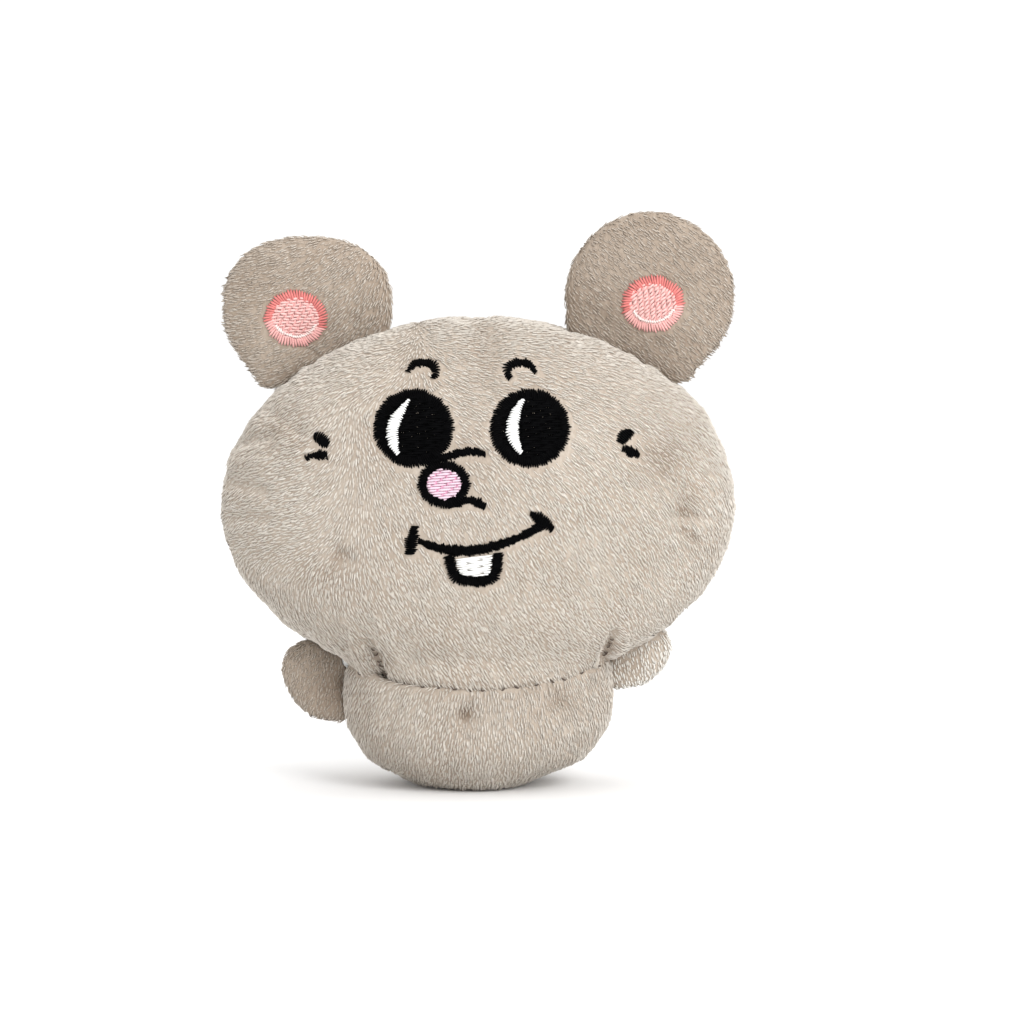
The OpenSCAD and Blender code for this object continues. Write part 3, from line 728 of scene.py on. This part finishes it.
def roots_on(piece, zone):
    """Places for tufts on a skin, spaced evenly over the nap: points, normals and directions."""
    co, no, tris = outer_faces[piece.name]
    a, b, c = co[tris[:, 0]], co[tris[:, 1]], co[tris[:, 2]]
    area = np.linalg.norm(np.cross(b - a, c - a), axis=1) / 2
    count = int(area.sum() / (ACROSS * ALONG * MM * MM) * TRIES)
    chosen = dice.choice(len(tris), count, p=area / area.sum())
    u, v = dice.random(count), dice.random(count)
    flip = u + v > 1
    u[flip], v[flip] = 1 - u[flip], 1 - v[flip]
    w = 1 - u - v
    point = a[chosen] * w[:, None] + b[chosen] * u[:, None] + c[chosen] * v[:, None]
    normal = (
        no[tris[chosen, 0]] * w[:, None] + no[tris[chosen, 1]] * u[:, None] + no[tris[chosen, 2]] * v[:, None]
    )
    normal = unit(normal)
    angle = np.radians(nap_angle(point[:, 0] / MM, point[:, 2] / MM, zone))
    way = np.stack((np.cos(angle), 0 * angle, np.sin(angle)), axis=1)
    way[:, 1] = -0.15
    way -= normal * np.sum(way * normal, axis=1, keepdims=True)
    way = unit(way, 1e-6)
    side = np.cross(normal, way)
    cells, kept = {}, []

    def free(key, x, y, z, wx, wy, wz, sx, sy, sz):
        for cell in product(*((k - 1, k, k + 1) for k in key)):
            for ox, oy, oz in cells.get(cell, ()):
                dx, dy, dz = ox - x, oy - y, oz - z
                f, g = dx * wx + dy * wy + dz * wz, dx * sx + dy * sy + dz * sz
                if f * f + g * g < 1:
                    return False
        return True

    keys = np.floor(point / (ALONG * MM)).astype(int)
    spots = np.concatenate((point, way / (ALONG * MM), side / (ACROSS * MM)), axis=1).tolist()
    for index, key in enumerate(map(tuple, keys.tolist())):
        if free(key, *spots[index]):
            cells.setdefault(key, []).append(spots[index][:3])
            kept.append(index)
    return point[kept], normal[kept], way[kept]


def buried_in(others):
    """Tells whether a point lies inside other closed forms, by counting the walls above it."""
    walls = [(tree_of(other), points_of(other).min(0), points_of(other).max(0)) for other in others]
    up = Vector((0.013, 0.021, 1)).normalized()

    def test(point):
        for tree, low, high in walls:
            if not all(low[k] < point[k] < high[k] for k in range(3)):
                continue
            count, start = 0, point
            for _ in range(12):
                hit, _, _, _ = tree.ray_cast(start, up)
                if hit is None:
                    break
                count += 1
                start = hit + up * 0.01 * MM
            if count % 2:
                return True
        return False

    return test


# a larger pile is parted into two pieces at the middle
MOST_FACES = 190_000
# x, z, reach and change of shade: painted shade where the pile dips into creases, puckers and dimples,
# between the parts and on sides that get less light, and painted light where the pile catches the light
PAINTED_LIGHT_AND_SHADE = {
    "head": [
        (1.2, 76, 3.4, -1.1), (1.2, 79.5, 2, -1), (1.4, 71, 2.2, -0.6), (-12.5, 76, 3.5, -0.7),
        (13.5, 77.5, 3.5, -0.6), (-34, 62.8, 3.6, -1.2), (-40, 57, 2.2, -0.9), (-38.5, 51.5, 2.4, -0.6),
        (-23.4, 42, 1.6, -2.4), (-25, 39, 2.6, -0.7), (31.2, 58, 3.6, -1.8), (35.9, 51.4, 2, -2),
        (34.8, 49, 1.2, -2.6), (37.4, 48.3, 0.7, -2), (36, 48.5, 0.7, -2), (35.2, 46, 0.8, -2.6),
        (36.6, 45, 0.9, -2.6), (37.6, 44, 0.9, -2.2), (37, 42, 0.8, -1), (33.5, 61, 3, -0.5),
        (-21.5, 23.5, 2.4, -0.9), (-16.6, 22.6, 1.5, -1.6), (22.4, 25.6, 1.3, -1.6), (20, 52, 7, 0.5),
        (10, 78, 6, 0.5), (38, 60, 6, 0.7), (-8, 80, 3, 0.5), (42, 49, 6, 1), (-30, 50, 6, 0.3),
        (36, 36, 5, 0.7), (0, 60, 6, -0.5),
    ],
    "body": [
        (-1.9, 14.6, 1.1, -4.2), (-2.1, 13.4, 2.8, -1), (13.7, 16.8, 2, -2.4), (16.2, 15.6, 2.2, -0.9),
        (10, 14.2, 1.2, -0.9), (-16, 6, 5, -0.7), (-20, 14, 4, -0.6), (-8, 2, 4, -0.6), (18, 12, 4, 0.4),
    ],
    "right_ear": [
        (-38, 90, 5, -0.4), (-27, 72, 5, -0.9), (-22, 86, 5, 0.8), (-30, 93, 4, 0.5),
    ],
    "left_ear": [
        (38, 84, 5, 0.9), (30, 96, 5, 0.7), (22, 84, 5, -0.5), (28, 74, 4, -0.6),
    ],
    "right_arm": [
        (-25.5, 17, 3.5, -1.8), (-31, 22, 3, 0.4),
    ],
    "left_arm": [
        (26, 22, 2, -0.8),
    ],
}


def spots_at(point, zone, weigh):
    """Adds up the painted light and shade spots of a zone at each point, with a weight for each spot's change
    of shade.
    """
    total = np.zeros(len(point))
    for x, z, reach, change in PAINTED_LIGHT_AND_SHADE[zone]:
        away = np.hypot(point[:, 0] - x * MM, point[:, 2] - z * MM)
        total += weigh(change) * near(away, reach) * (point[:, 1] < EAR_Y * MM)
    return total


def painted_shade_share(point, zone):
    """How much painted shade each point has, from 0 to 1, from the spots that darken."""
    return np.clip(spots_at(point, zone, lambda change: max(-change, 0) / 4), 0, 1)


def brush(name, skin, zone, tone, buried, keep_out=None, length=1.5):
    """The pile of one panel, in one or two pieces. The tone is the middle one of the shades."""
    # the skin gets a painted-shade attribute that darkens its ground
    painted_shade = skin.data.attributes.new("painted_shade", "FLOAT", "POINT")
    painted_shade.data.foreach_set("value", painted_shade_share(points_of(skin), zone))
    point, normal, way = roots_on(skin, zone)
    open_spots = [
        index
        for index, (p, d) in enumerate(zip(map(Vector, point), map(Vector, way)))
        if not buried(p) and (keep_out is None or keep_out(p, d, length * MM))
    ]
    point, normal, way = point[open_spots], normal[open_spots], way[open_spots]
    count = len(point)
    turn = dice.normal(0, 0.1, count)
    side = np.cross(normal, way)
    way = way * np.cos(turn)[:, None] + side * np.sin(turn)[:, None]
    side = np.cross(normal, way)
    # tufts are shorter where shade is painted, so more of the darker ground shows
    long = length * MM * (1 + dice.normal(0, 0.16, count)) * (1 - 0.35 * painted_shade_share(point, zone))
    wide = TUFT_WIDTH * MM * (1 + dice.normal(0, 0.15, count))
    tall = TUFT_HEIGHT * MM * (1 + dice.normal(0, 0.3, count)).clip(0.3, 1.8)
    curl = dice.normal(0, 0.08, count) * MM
    t, across, up = TUFT.T
    tuft = (
        point[:, None]
        + spread(way, long[:, None] * t)
        + spread(normal, tall[:, None] * (1.9 * t - 0.95 * t * t - 0.15))
        + spread(side, curl[:, None] * (t * t))
    )
    thick = np.full((count, 1), TUFT_THICKNESS * MM) * up
    tuft += spread(side, wide[:, None] * across) + spread(normal, thick)
    # each tuft's shade: the zone's tone with painted shade and painted light from the spots, and a random
    # spread
    middle = tone + spots_at(point, zone, lambda change: change)
    shade = np.clip(np.round(dice.normal(middle, 0.7)), 0, len(shades) - 1)
    if count * len(TUFT_FACES) < MOST_FACES:
        return [joined_copies(name, tuft, TUFT_FACES, shade, shades)]
    return [
        joined_copies(f"{name}_{number}", tuft[half], TUFT_FACES, shade[half], shades)
        for number, half in ((1, point[:, 0] < 0), (2, point[:, 0] >= 0))
    ]


# ---- Embroidery ----


def thread_shape():
    """One stitch: a slim thread, thin at its ends. Points are (along, across, up)."""
    bpy.ops.mesh.primitive_circle_add(vertices=5, radius=0.35, fill_type="NOTHING")
    piece = named("stitch")
    edit_all()
    for width in (2.4, 1.19, 1.0, 1.0, 0.84, 0.42):
        bpy.ops.mesh.extrude_region_move(TRANSFORM_OT_translate={"value": (0, 0, 1)})
        bpy.ops.transform.resize(value=(width, width, 1))
    bpy.ops.mesh.edge_face_add()
    leave_edit()
    co, faces = melted(piece)
    return np.stack((co[:, 2] / 3 - 1, co[:, 0], co[:, 1]), axis=1), faces


STITCH, STITCH_FACES = thread_shape()
THREAD_W, THREAD_H, THREAD_ROUND = 0.43, 0.2, 0.11


def surface_under(cloth):
    """A way to find the cloth behind x and z: gives the place and the way out of the cloth."""
    tree = tree_of(cloth)

    def find(x, z):
        hit, normal, _, _ = tree.ray_cast(Vector((x * MM, -80 * MM, z * MM)), Vector((0, 1, 0)))
        if hit is None:
            hit, normal, _, _ = tree.find_nearest(Vector((x * MM, -10 * MM, z * MM)))
        return np.array(hit), np.array(normal)

    return find


def curve_through(points, step):
    """A smooth curve through points of x, z and width, sampled evenly at a step in millimetres."""
    p = np.array(points, float)
    padded = np.vstack((p[0], p, p[-1]))
    fine = []
    for k in range(1, len(padded) - 2):
        a, b, c, d = padded[k - 1 : k + 3]
        for t in np.linspace(0, 1, 24, endpoint=False):
            bend = (2 * a - 5 * b + 4 * c - d) * t * t + (3 * b - a - 3 * c + d) * t**3
            fine.append(0.5 * (2 * b + (c - a) * t + bend))
    fine.append(p[-1])
    fine = np.array(fine)
    run = np.concatenate(([0], np.cumsum(np.linalg.norm(np.diff(fine[:, :2], axis=0), axis=1))))
    spots = np.linspace(0, run[-1], max(2, int(run[-1] / step)))
    return np.stack([np.interp(spots, run, fine[:, k]) for k in range(3)], axis=1)


def satin(points, pitch=0.32, uneven=0.2, closed=False):
    """Stitches across a line, with uneven ends: pairs of ends in x and z."""
    line = curve_through(points, pitch)
    way = np.gradient(line[:, :2], axis=0)
    if closed:
        way[0] = way[-1] = way[0] + way[-1]
    way = unit(way)
    side = np.stack((way[:, 1], -way[:, 0]), axis=1)
    half = line[:, 2:3] / 2
    half = half + dice.uniform(-uneven * 0.6, uneven * 1.4, (len(line), 2))
    slant = way * pitch * 0.5
    ends = line[:, :2] - side * half[:, :1] - slant, line[:, :2] + side * half[:, 1:] + slant
    return np.stack(ends, axis=1)


def rows_in(inside, box, turn=0.0, pitch=0.34, length=3.2, wave=0.0):
    """Rows of running stitches that fill a shape, turned by an angle: pairs of ends in x and z."""
    x0, z0, x1, z1 = box
    cx, cz, reach = (x0 + x1) / 2, (z0 + z1) / 2, math.hypot(x1 - x0, z1 - z0) / 2
    c, s = math.cos(turn), math.sin(turn)
    pairs = []
    for row, v in enumerate(np.arange(-reach, reach, pitch)):
        u = np.arange(-reach, reach, 0.08)
        w = v + wave * np.sin(u * 2.1 + row * 0.9)
        xs, zs = cx + u * c - w * s, cz + u * s + w * c
        ok = inside(xs, zs)
        if not ok.any():
            continue
        starts = np.flatnonzero(ok & ~np.concatenate(([False], ok[:-1])))
        ends = np.flatnonzero(ok & ~np.concatenate((ok[1:], [False])))
        for first, last in zip(starts, ends):
            cut = np.arange(-reach + (row % 3) * length / 3, reach, length)
            edges = [u[first], *[k for k in cut if u[first] + 0.5 < k < u[last] - 0.5], u[last]]
            for k0, k1 in zip(edges[:-1], edges[1:]):
                i0, i1 = np.searchsorted(u, (k0, k1))
                i1 = min(i1, len(u) - 1)
                pairs.append(((xs[i0], zs[i0]), (xs[i1], zs[i1])))
    return np.array(pairs)


def oval_of(x, z, w, h):
    """Tells which places lie in an oval."""
    return lambda px, pz: ((px - x) / (w / 2)) ** 2 + ((pz - z) / (h / 2)) ** 2 < 1


stitched_spots = []


def stitches_at(first, last, out, width, tall, lift, arch):
    """Points of stitches between places on the cloth, which rise from it, arch over and dip back."""
    way = last - first
    u, across, up = STITCH.T
    rise = tall[:, None] * (arch * (1 - np.abs(u) ** 3) - 0.6)
    return (
        first[:, None]
        + way[:, None] * ((u + 1) / 2)[:, None]
        + spread(out, lift * MM + rise + THREAD_ROUND * MM * up)
        + spread(unit(np.cross(out, way), 1e-9), width[:, None] / 2 * across)
    )


def embroider(name, find, groups, *threads):
    """Lays stitches. A group is pairs of ends, a lift, a thread's width and height, and which thread."""
    blocks, thread_of = [], []
    for pairs, lift, width, height, *which in groups:
        first, out0 = map(np.array, zip(*(find(*start) for start, _ in pairs)))
        last, out1 = map(np.array, zip(*(find(*end) for _, end in pairs)))
        count = len(first)
        wide = width * MM * (1 + dice.uniform(-0.12, 0.12, count))
        tall = height * MM * (1 + dice.uniform(-0.25, 0.25, count))
        blocks.append(stitches_at(first, last, unit(out0 + out1), wide, tall, lift, 1.3))
        thread_of += [which[0] if which else 0] * count
        way = last - first
        longest = np.linalg.norm(way, axis=1).max()
        for share in np.linspace(0, 1, int(longest / (0.4 * MM)) + 2):
            stitched_spots.extend((first + way * share).tolist())
    return joined_copies(name, np.concatenate(blocks), STITCH_FACES, np.array(thread_of), threads)


def moved(points, x, z):
    return [(px + x, pz + z, w) for px, pz, w in points]


def mirrored(points):
    return [(-px, pz, w) for px, pz, w in reversed(points)]


face = surface_under(head)
# the face's drawings are placed about this height
FACE_Z = 49
EYE_Z, EYE_W, EYE_H = 63.7, 13.6, 13.0
EYES = {"right": -10.7, "left": 8.9}
BROW = [
    (-1.1, 9.3, 0.6), (-0.2, 10.4, 1.2), (1.6, 10.9, 1.4), (3.3, 10.5, 1.6), (3.8, 9.5, 1.5), (3.2, 8.3, 0.9),
]
GLINTS = {
    "right": [(-0.8, 4.4, 0.4), (-2.2, 2.7, 1.4), (-3.4, 0.4, 2.1), (-3.4, -2.2, 1.9), (-2.6, -4.3, 0.9)],
    "left": [(-1.3, 4.5, 0.6), (-2.3, 2.7, 1.6), (-3.0, 0.2, 2.1), (-2.7, -1.9, 1.8), (-1.5, -4.0, 0.7)],
}


def ring_stitches(x, z, w, h, band, pitch=0.34):
    turns = np.linspace(0, 2 * math.pi, 49)
    line = [(x + (w - band) / 2 * math.cos(a), z + (h - band) / 2 * math.sin(a), band) for a in turns]
    return satin(line, pitch, 0.2, closed=True)


made = {}


def draw(node, groups, *threads, name=None):
    """Embroiders one part of the face."""
    made[node] = embroider(f"{name or node}_stitches", face, groups, *threads)


for side, x in EYES.items():
    rim = ring_stitches(x, EYE_Z, EYE_W, EYE_H, 1.9)
    oval, box = oval_of(x, EYE_Z, EYE_W - 1.6, EYE_H - 1.6), (x - 7, EYE_Z - 7, x + 7, EYE_Z + 7)
    bed = rows_in(oval, box, 1.5, 0.45, 2.5)
    fill = rows_in(oval, box, 0.06, 0.38, 4)
    groups = [(bed, 0.02, 0.55, 0.1), (fill, 0.14, 0.5, THREAD_H), (rim, 0.18, THREAD_W, 0.28)]
    draw(f"{side}_eye", groups, black_thread)
    glint = moved(GLINTS[side], x, EYE_Z)
    draw(f"{side}_eye_highlight", [(satin(glint, 0.36, 0.12), 0.42, THREAD_W, 0.22)], white_thread)
    brow = moved(BROW if side == "right" else mirrored(BROW), x, EYE_Z)
    draw(f"{side}_brow", [(satin(brow), 0.08, THREAD_W, 0.25)], black_thread)

MARKS = {
    "right": [
        [(-27.5, 13.1, 1.3), (-26.8, 12.8, 2.2), (-25.9, 12.3, 2.4), (-25.2, 11.8, 1.4)],
        [(-29.0, 9.5, 0.9), (-28.0, 9.8, 0.6), (-26.8, 10.0, 1.7), (-25.4, 10.0, 1.3)],
    ],
    "left": [
        [(24.1, 12.2, 1.4), (24.7, 12.9, 2.1), (25.4, 13.5, 2.2), (26.0, 14.0, 1.3)],
        [(24.7, 11.2, 0.9), (25.5, 10.8, 1.7), (26.4, 10.4, 1.6), (27.3, 9.9, 0.8)],
    ],
}
for side, paths in MARKS.items():
    groups = [(satin(moved(path, 0, FACE_Z), 0.27), 0.08, THREAD_W, 0.28) for path in paths]
    draw(f"{side}_cheek_marks", groups, black_thread, name=f"{side}_cheek_mark")

NOSE = (-5.5, 54.4)
NOSE_W, NOSE_H, OUTLINE = 5.8, 4.9, 1.5
TAILS = [
    [(-2.7, 3.6, 1.0), (-0.8, 4.2, 1.2), (1.2, 4.8, 1.2), (3.4, 5.4, 1.3), (5.1, 5.4, 1.2), (6.8, 5.0, 0.8)],
    [(0.6, -3.7, 1.1), (2.4, -3.1, 1.3), (4.2, -2.7, 1.2), (5.6, -3.0, 1.5), (6.8, -3.7, 1.2)],
]
box = (NOSE[0] - 4, NOSE[1] - 4, NOSE[0] + 4, NOSE[1] + 4)
nose_rows = rows_in(oval_of(*NOSE, NOSE_W + 0.5, NOSE_H + 0.5), box, 0.1, 0.43, 2.6)
nose_bed = rows_in(oval_of(*NOSE, NOSE_W, NOSE_H), box, 1.3, 0.42, 2.5)
groups = [(nose_bed, 0.06, 0.5, 0.1, 1), (nose_rows, 0.18, 0.4, 0.2)]
draw("nose_fill", groups, pink_thread, deep_pink_thread)
outline = ring_stitches(*NOSE, NOSE_W + 2 * OUTLINE, NOSE_H + 2 * OUTLINE, OUTLINE)
tails = [(satin(moved(tail, *NOSE)), 0.12, THREAD_W, 0.26) for tail in TAILS]
draw("nose_outline", [(outline, 0.32, THREAD_W, 0.26), *tails], black_thread)

MOUTH = [
    [(-9.7, -4.2, 1), (-8, -4.8, 1.3), (-5.7, -5.5, 1.6), (-2.1, -5.8, 1.9), (1.3, -5.4, 1.8),
     (4.7, -4.4, 1.5), (7.4, -3.4, 1.3), (9.6, -2.3, 1.6), (11, -1, 2)],
    [(-11.3, -6.3, 1.7), (-10.9, -4, 2.1), (-10.4, -1.8, 1)],
    [(9.1, 0.5, 1), (10.9, -0.6, 2.2), (12.6, -2.2, 1.2)],
]
smile = [(satin(moved(path, 0, FACE_Z)), 0.1 + 0.05 * k, THREAD_W, 0.26) for k, path in enumerate(MOUTH)]
draw("mouth_line", smile, black_thread, name="mouth")

TOOTH_EDGE = [
    (-4.7, -6.7, 1.4), (-4.3, -8.6, 1.5), (-3.6, -10.2, 1.5), (-2.4, -10.8, 1.5), (-0.3, -10.9, 1.5),
    (1.8, -10.8, 1.5), (2.9, -10, 1.5), (3.3, -8.4, 1.5), (3.5, -6.2, 1.3),
]


def in_tooth(x, z):
    down = FACE_Z - 7 - z
    return (down < 3.1) & (down > -0.3 - 0.12 * x) & (x > -3.9 + down * 0.26) & (x < 2.9 - down * 0.12)


tooth_rows = rows_in(in_tooth, (-5, 37, 4, 44), 0.12, 0.38, 7)
draw("tooth_fill", [(tooth_rows, 0.2, 0.42, 0.2)], white_thread)
edge = satin([(x, z, w + 0.35) for x, z, w in moved(TOOTH_EDGE, 0, FACE_Z)])
draw("tooth_outline", [(edge, 0.34, THREAD_W, 0.26)], black_thread)

PATCH_W, PATCH_H = 11.0, 9.8
PATCHES = {"left": (30.4, 84.2), "right": (-31.7, 81.7)}
ear_stitches = {}
for side, (x, z) in PATCHES.items():
    find = surface_under(limbs[side][0])
    rim = ring_stitches(x, z, PATCH_W, PATCH_H, 1.8, 0.42)
    middle = rim.mean(axis=1)
    low = middle[:, 1] < z - 0.8 + 0.12 * (middle[:, 0] - x) * (1 if side == "left" else -1)
    turns = np.radians(range(205, 341, 15))
    w, h = PATCH_W / 2 - 1.9, PATCH_H / 2 - 1.9
    bright = satin([(x + w * math.cos(a), z + h * math.sin(a), 0.5) for a in turns], 0.36, 0.1)
    box = (x - 5, z - 5, x + 5, z + 5)
    oval = oval_of(x, z, PATCH_W - 2.4, PATCH_H - 2.4)
    bed = rows_in(oval, box, 1.4, 0.42, 2)
    fill = rows_in(oval, box, 0.05 if side == "right" else 0.8, 0.5, 1.3, 0.15)
    ear_stitches[side] = [
        embroider(
            f"{side}_ear_ring_stitches",
            find,
            [(rim[~low], 0.24, 0.42, 0.26), (rim[low], 0.24, 0.42, 0.26, 1)],
            coral_thread,
            rose_thread,
        ),
        embroider(
            f"{side}_ear_patch_stitches",
            find,
            [(bed, 0.16, 0.52, 0.1, 1), (fill, 0.26, 0.4, 0.2), (bright, 0.42, 0.36, 0.2, 2)],
            blush_thread,
            rose_thread,
            pale_thread,
        ),
    ]

spot_tree = KDTree(len(stitched_spots))
for index, spot in enumerate(stitched_spots):
    spot_tree.insert(Vector(spot), index)
spot_tree.balance()


def clear_of_stitches(point, way, length):
    """True if a tuft from here doesn't start in the embroidery or lie far over it."""
    for share, reach in ((0.0, 0.27), (0.4, 0.24), (0.8, 0.12)):
        if spot_tree.find(point + way * length * share)[2] < reach * MM:
            return False
    return True


# ---- Seam threads ----


def seam_stitches(name, pairs, width=0.4, height=0.3, lift=0.1):
    """Stitches between given places, each with its way out of the cloth."""
    first, last, out = (np.array([p[k] for p in pairs]) for k in range(3))
    size = np.full(len(pairs), MM)
    points = stitches_at(first, last, out, width * size, height * size, lift, 1.2)
    piece = joined_copies(name, points, STITCH_FACES)
    piece.data.materials.append(seam_thread)
    return piece


def on_face(find, x, z, dx, dz, length):
    """A stitch on the front of the cloth about a place, with a direction and a length."""
    way = np.array((dx, dz)) / math.hypot(dx, dz) * length / 2
    first, out0 = find(x - way[0], z - way[1])
    last, out1 = find(x + way[0], z + way[1])
    out = out0 + out1
    return first, last, out / np.linalg.norm(out)


dart_pairs = []
for x0, z0, x1, z1 in ((-18.2, 25.8, -15.6, 20.4), (23.2, 27.6, 21.8, 23.2)):
    for k in range(5):
        t = (k + 0.4 + dice.uniform(-0.3, 0.3)) / 5
        lean, reach = dice.uniform(-0.5, 0.7), dice.uniform(0.5, 1.2)
        dart_pairs.append(on_face(face, x0 + (x1 - x0) * t, z0 + (z1 - z0) * t, 0.8, lean, reach))
darts = seam_stitches("dart_threads", dart_pairs, 0.32, 0.3, 0.2)

neck_trees = [tree_of(head), tree_of(body)]


def meeting_place(angle):
    """Where the head's surface comes out past the body's, going up, in a direction about the neck."""
    way = Vector((math.sin(angle), -math.cos(angle), 0))
    for step in range(50):
        z = (16 + 0.2 * step) * MM
        hits = [tree.ray_cast(way * 60 * MM + Vector((0, 0, z)), -way) for tree in neck_trees]
        if hits[0][0] is None:
            continue
        if hits[1][0] is None or hits[0][0].xy.length > hits[1][0].xy.length:
            break
    return np.array(hits[0][0]), np.array(hits[0][1])


neck_pairs = []
NECK_STITCHES = 42
for k in range(NECK_STITCHES):
    a = 2 * math.pi * (k + 0.5 + dice.uniform(-0.25, 0.25)) / NECK_STITCHES
    reach, lean = dice.uniform(0.012, 0.032), dice.uniform(-0.45, 0.45)
    if abs(math.sin(a)) > 0.93:
        continue
    (first, out0), (last, out1) = meeting_place(a - reach), meeting_place(a + reach)
    lean = np.array((0, 0, lean)) * MM
    out = out0 + out1
    neck_pairs.append((first - lean, last + lean, out / np.linalg.norm(out)))
neck_threads = seam_stitches("neck_threads", neck_pairs, 0.34, 0.3, 0.22)

closing_pairs = []
for k in range(11):
    z = 31.5 + 1.65 * k
    places = []
    for x in (-0.9, 0.9):
        hit, normal, _, _ = neck_trees[0].ray_cast(Vector((x, 80, z + x * 0.3)) * MM, Vector((0, -1, 0)))
        places.append(np.array(hit))
    closing_pairs.append((*places, np.array((0.0, 1.0, 0.0))))
closing = seam_stitches("closing_threads", closing_pairs, 0.4, 0.3, 0.35)


# ---- Pile and what each piece moves with ----

HEAD_TONE, BODY_TONE = 5.9, 5.8
arms = [limbs[side][1] for side in limbs]
ears = [limbs[side][0] for side in limbs]
in_head_parts = buried_in([body, *arms, *ears])
in_body_parts = buried_in([head, *arms])
# how far inside the skin the filling and the backing of the face lie
FILLING_IN, BACKING_IN = 1.5, 0.95


def filling(form, name, bodies, ends, node):
    """Loose fibre that fills a skin."""
    piece = own_copy(form, name)
    draw_in(piece, FILLING_IN)
    take(piece)
    bpy.ops.object.shade_smooth()
    piece.data.materials.append(fibre_fill)
    sewn(piece, bodies, ends, [node])


filling(head, "head_filling", TRUNK, neck, "head_stuffing")
filling(body, "body_filling", TRUNK, neck, "body_stuffing")
backing_form = own_copy(head, "backing_form")
draw_in(backing_form, BACKING_IN)
EDGES = [
    ((0, -10, 0), (0, 1, 0)),
    ((-32, 0, 0), (-1, 0, 0)),
    ((31, 0, 0), (1, 0, 0)),
    ((0, 0, 37), (0, 0, -1)),
    ((0, 0, 77), (0, 0, 1)),
]
backing = panel(backing_form, "face_backing_cloth", EDGES, 0.25, backing_cloth)
sewn(backing, TRUNK, neck, ["face_backing"])
bpy.data.objects.remove(backing_form)

head_skins = {"head_front": head_front, "head_back_left": head_back_left, "head_back_right": head_back_right}
for name, skin in head_skins.items():
    guard = clear_of_stitches if name == "head_front" else None
    piles = brush(f"{name}_pile", skin, "head", HEAD_TONE, in_head_parts, guard)
    sewn(skin, TRUNK, neck, [f"{name}_panel"])
    for pile in piles:
        sewn(pile, TRUNK, neck, [])
for name, skin in (("body_front", body_front), ("body_back", body_back), ("base", base)):
    if name != "base":
        for pile in brush(f"{name}_pile", skin, "body", BODY_TONE, in_body_parts):
            sewn(pile, TRUNK, neck, [])
    sewn(skin, TRUNK, neck, [f"{name}_panel"])

for node, piece in made.items():
    sewn(piece, "head", None, [node])
for piece, node in ((darts, "dart"), (closing, "closing"), (neck_threads, "neck")):
    sewn(piece, TRUNK, neck, [f"{node}_stitches"])

JOINTS = {joint["name"]: joint for joint in frame["joints"]}
EAR_TONE = {"left": 1.6, "right": 2.6}
# each arm's middle shade: painted light on the left arm, at the lightest shade, and painted shade on the
# right arm
ARM_LIGHT_AND_SHADE = {"left": 9.0, "right": 2.2}
in_head, in_trunk = buried_in([head]), buried_in([head, body])


def limb(form, name, parent, ends, cut, cloth, tone, buried, length, inner, guard=None):
    """The front and back panels of an ear or an arm, with their pile and its filling."""
    for part, way in (("front", (0, 1, 0)), ("back", (0, -1, 0))):
        skin = panel(form, f"{name}_{part}_skin", [(cut, way)], cloth=cloth)
        keep_out = guard if part == "front" else None
        piles = brush(f"{name}_{part}_pile", skin, name, tone, buried, keep_out, length)
        sewn(skin, (parent, name), ends, [f"{name}_{part}_panel"])
        for pile in piles:
            sewn(pile, (parent, name), ends, [])
    filling(form, f"{name}_filling", (parent, name), ends, f"{name}_{inner}")


for side, sign in (("left", 1), ("right", -1)):
    ear, arm = limbs[side]
    axis, pivot = (Vector(JOINTS[f"{side}_ear_fold"][key]) for key in ("axis", "pos_m"))
    out = Vector((axis.z, 0, -axis.x))
    if out.z < 0:
        out = -out
    ends = {"start": tuple(pivot - out * 1.5 * MM), "end": tuple(pivot + out * 4.5 * MM)}
    name, tone = f"{side}_ear", EAR_TONE[side]
    cut, guard = (0, EAR_Y, 0), clear_of_stitches
    limb(ear, name, "head", ends, cut, shaded_ground, tone, in_head, 1.35, "wadding", guard)
    ring, patch = ear_stitches[side]
    sewn(ring, ("head", name), ends, [f"{name}_ring"])
    sewn(patch, ("head", name), ends, [f"{name}_patch"])
    ends = {"start": (sign * 23.5 * MM, 0, 0), "end": (sign * 28 * MM, 0, 0)}
    # the right arm's ground is the darker one: painted shade
    cloth = ground if side == "left" else shaded_ground
    limb(arm, f"{side}_arm", "body", ends, MIDDLE, cloth, ARM_LIGHT_AND_SHADE[side], in_trunk, 1.2, "stuffing")
    bpy.data.objects.remove(ear)
    bpy.data.objects.remove(arm)
bpy.data.objects.remove(head)
bpy.data.objects.remove(body)


# ---- Floor and light ----

FLOOR_SIZE = 16
WHITE = (0.92, 0.92, 0.92)
STUDIO_LIGHT = 1.12

lay_down_tools()
bpy.ops.mesh.primitive_plane_add(size=FLOOR_SIZE)
floor = named("floor")
floor.data.materials.append(new_material("floor_finish", WHITE, 0.9, gloss=0.5))

world = bpy.data.worlds.new("studio")
bpy.context.scene.world = world
world.use_nodes = True
background = world.node_tree.nodes["Background"]
background.inputs["Color"].default_value = (1, 1, 1, 1)
background.inputs["Strength"].default_value = STUDIO_LIGHT


def lamp(name, place, aim, size, power):
    bpy.ops.object.light_add(type="AREA", location=place)
    light = bpy.context.active_object
    light.name = name
    light.rotation_euler = (Vector(aim) - Vector(place)).to_track_quat("-Z", "Y").to_euler()
    light.data.size = size
    light.data.energy = power


AIM = (0, 0, 0.05)
lamp("key", (0.45, -0.75, 0.5), AIM, 0.45, 6)
lamp("top", (0.1, 0.1, 0.9), AIM, 0.6, 2)
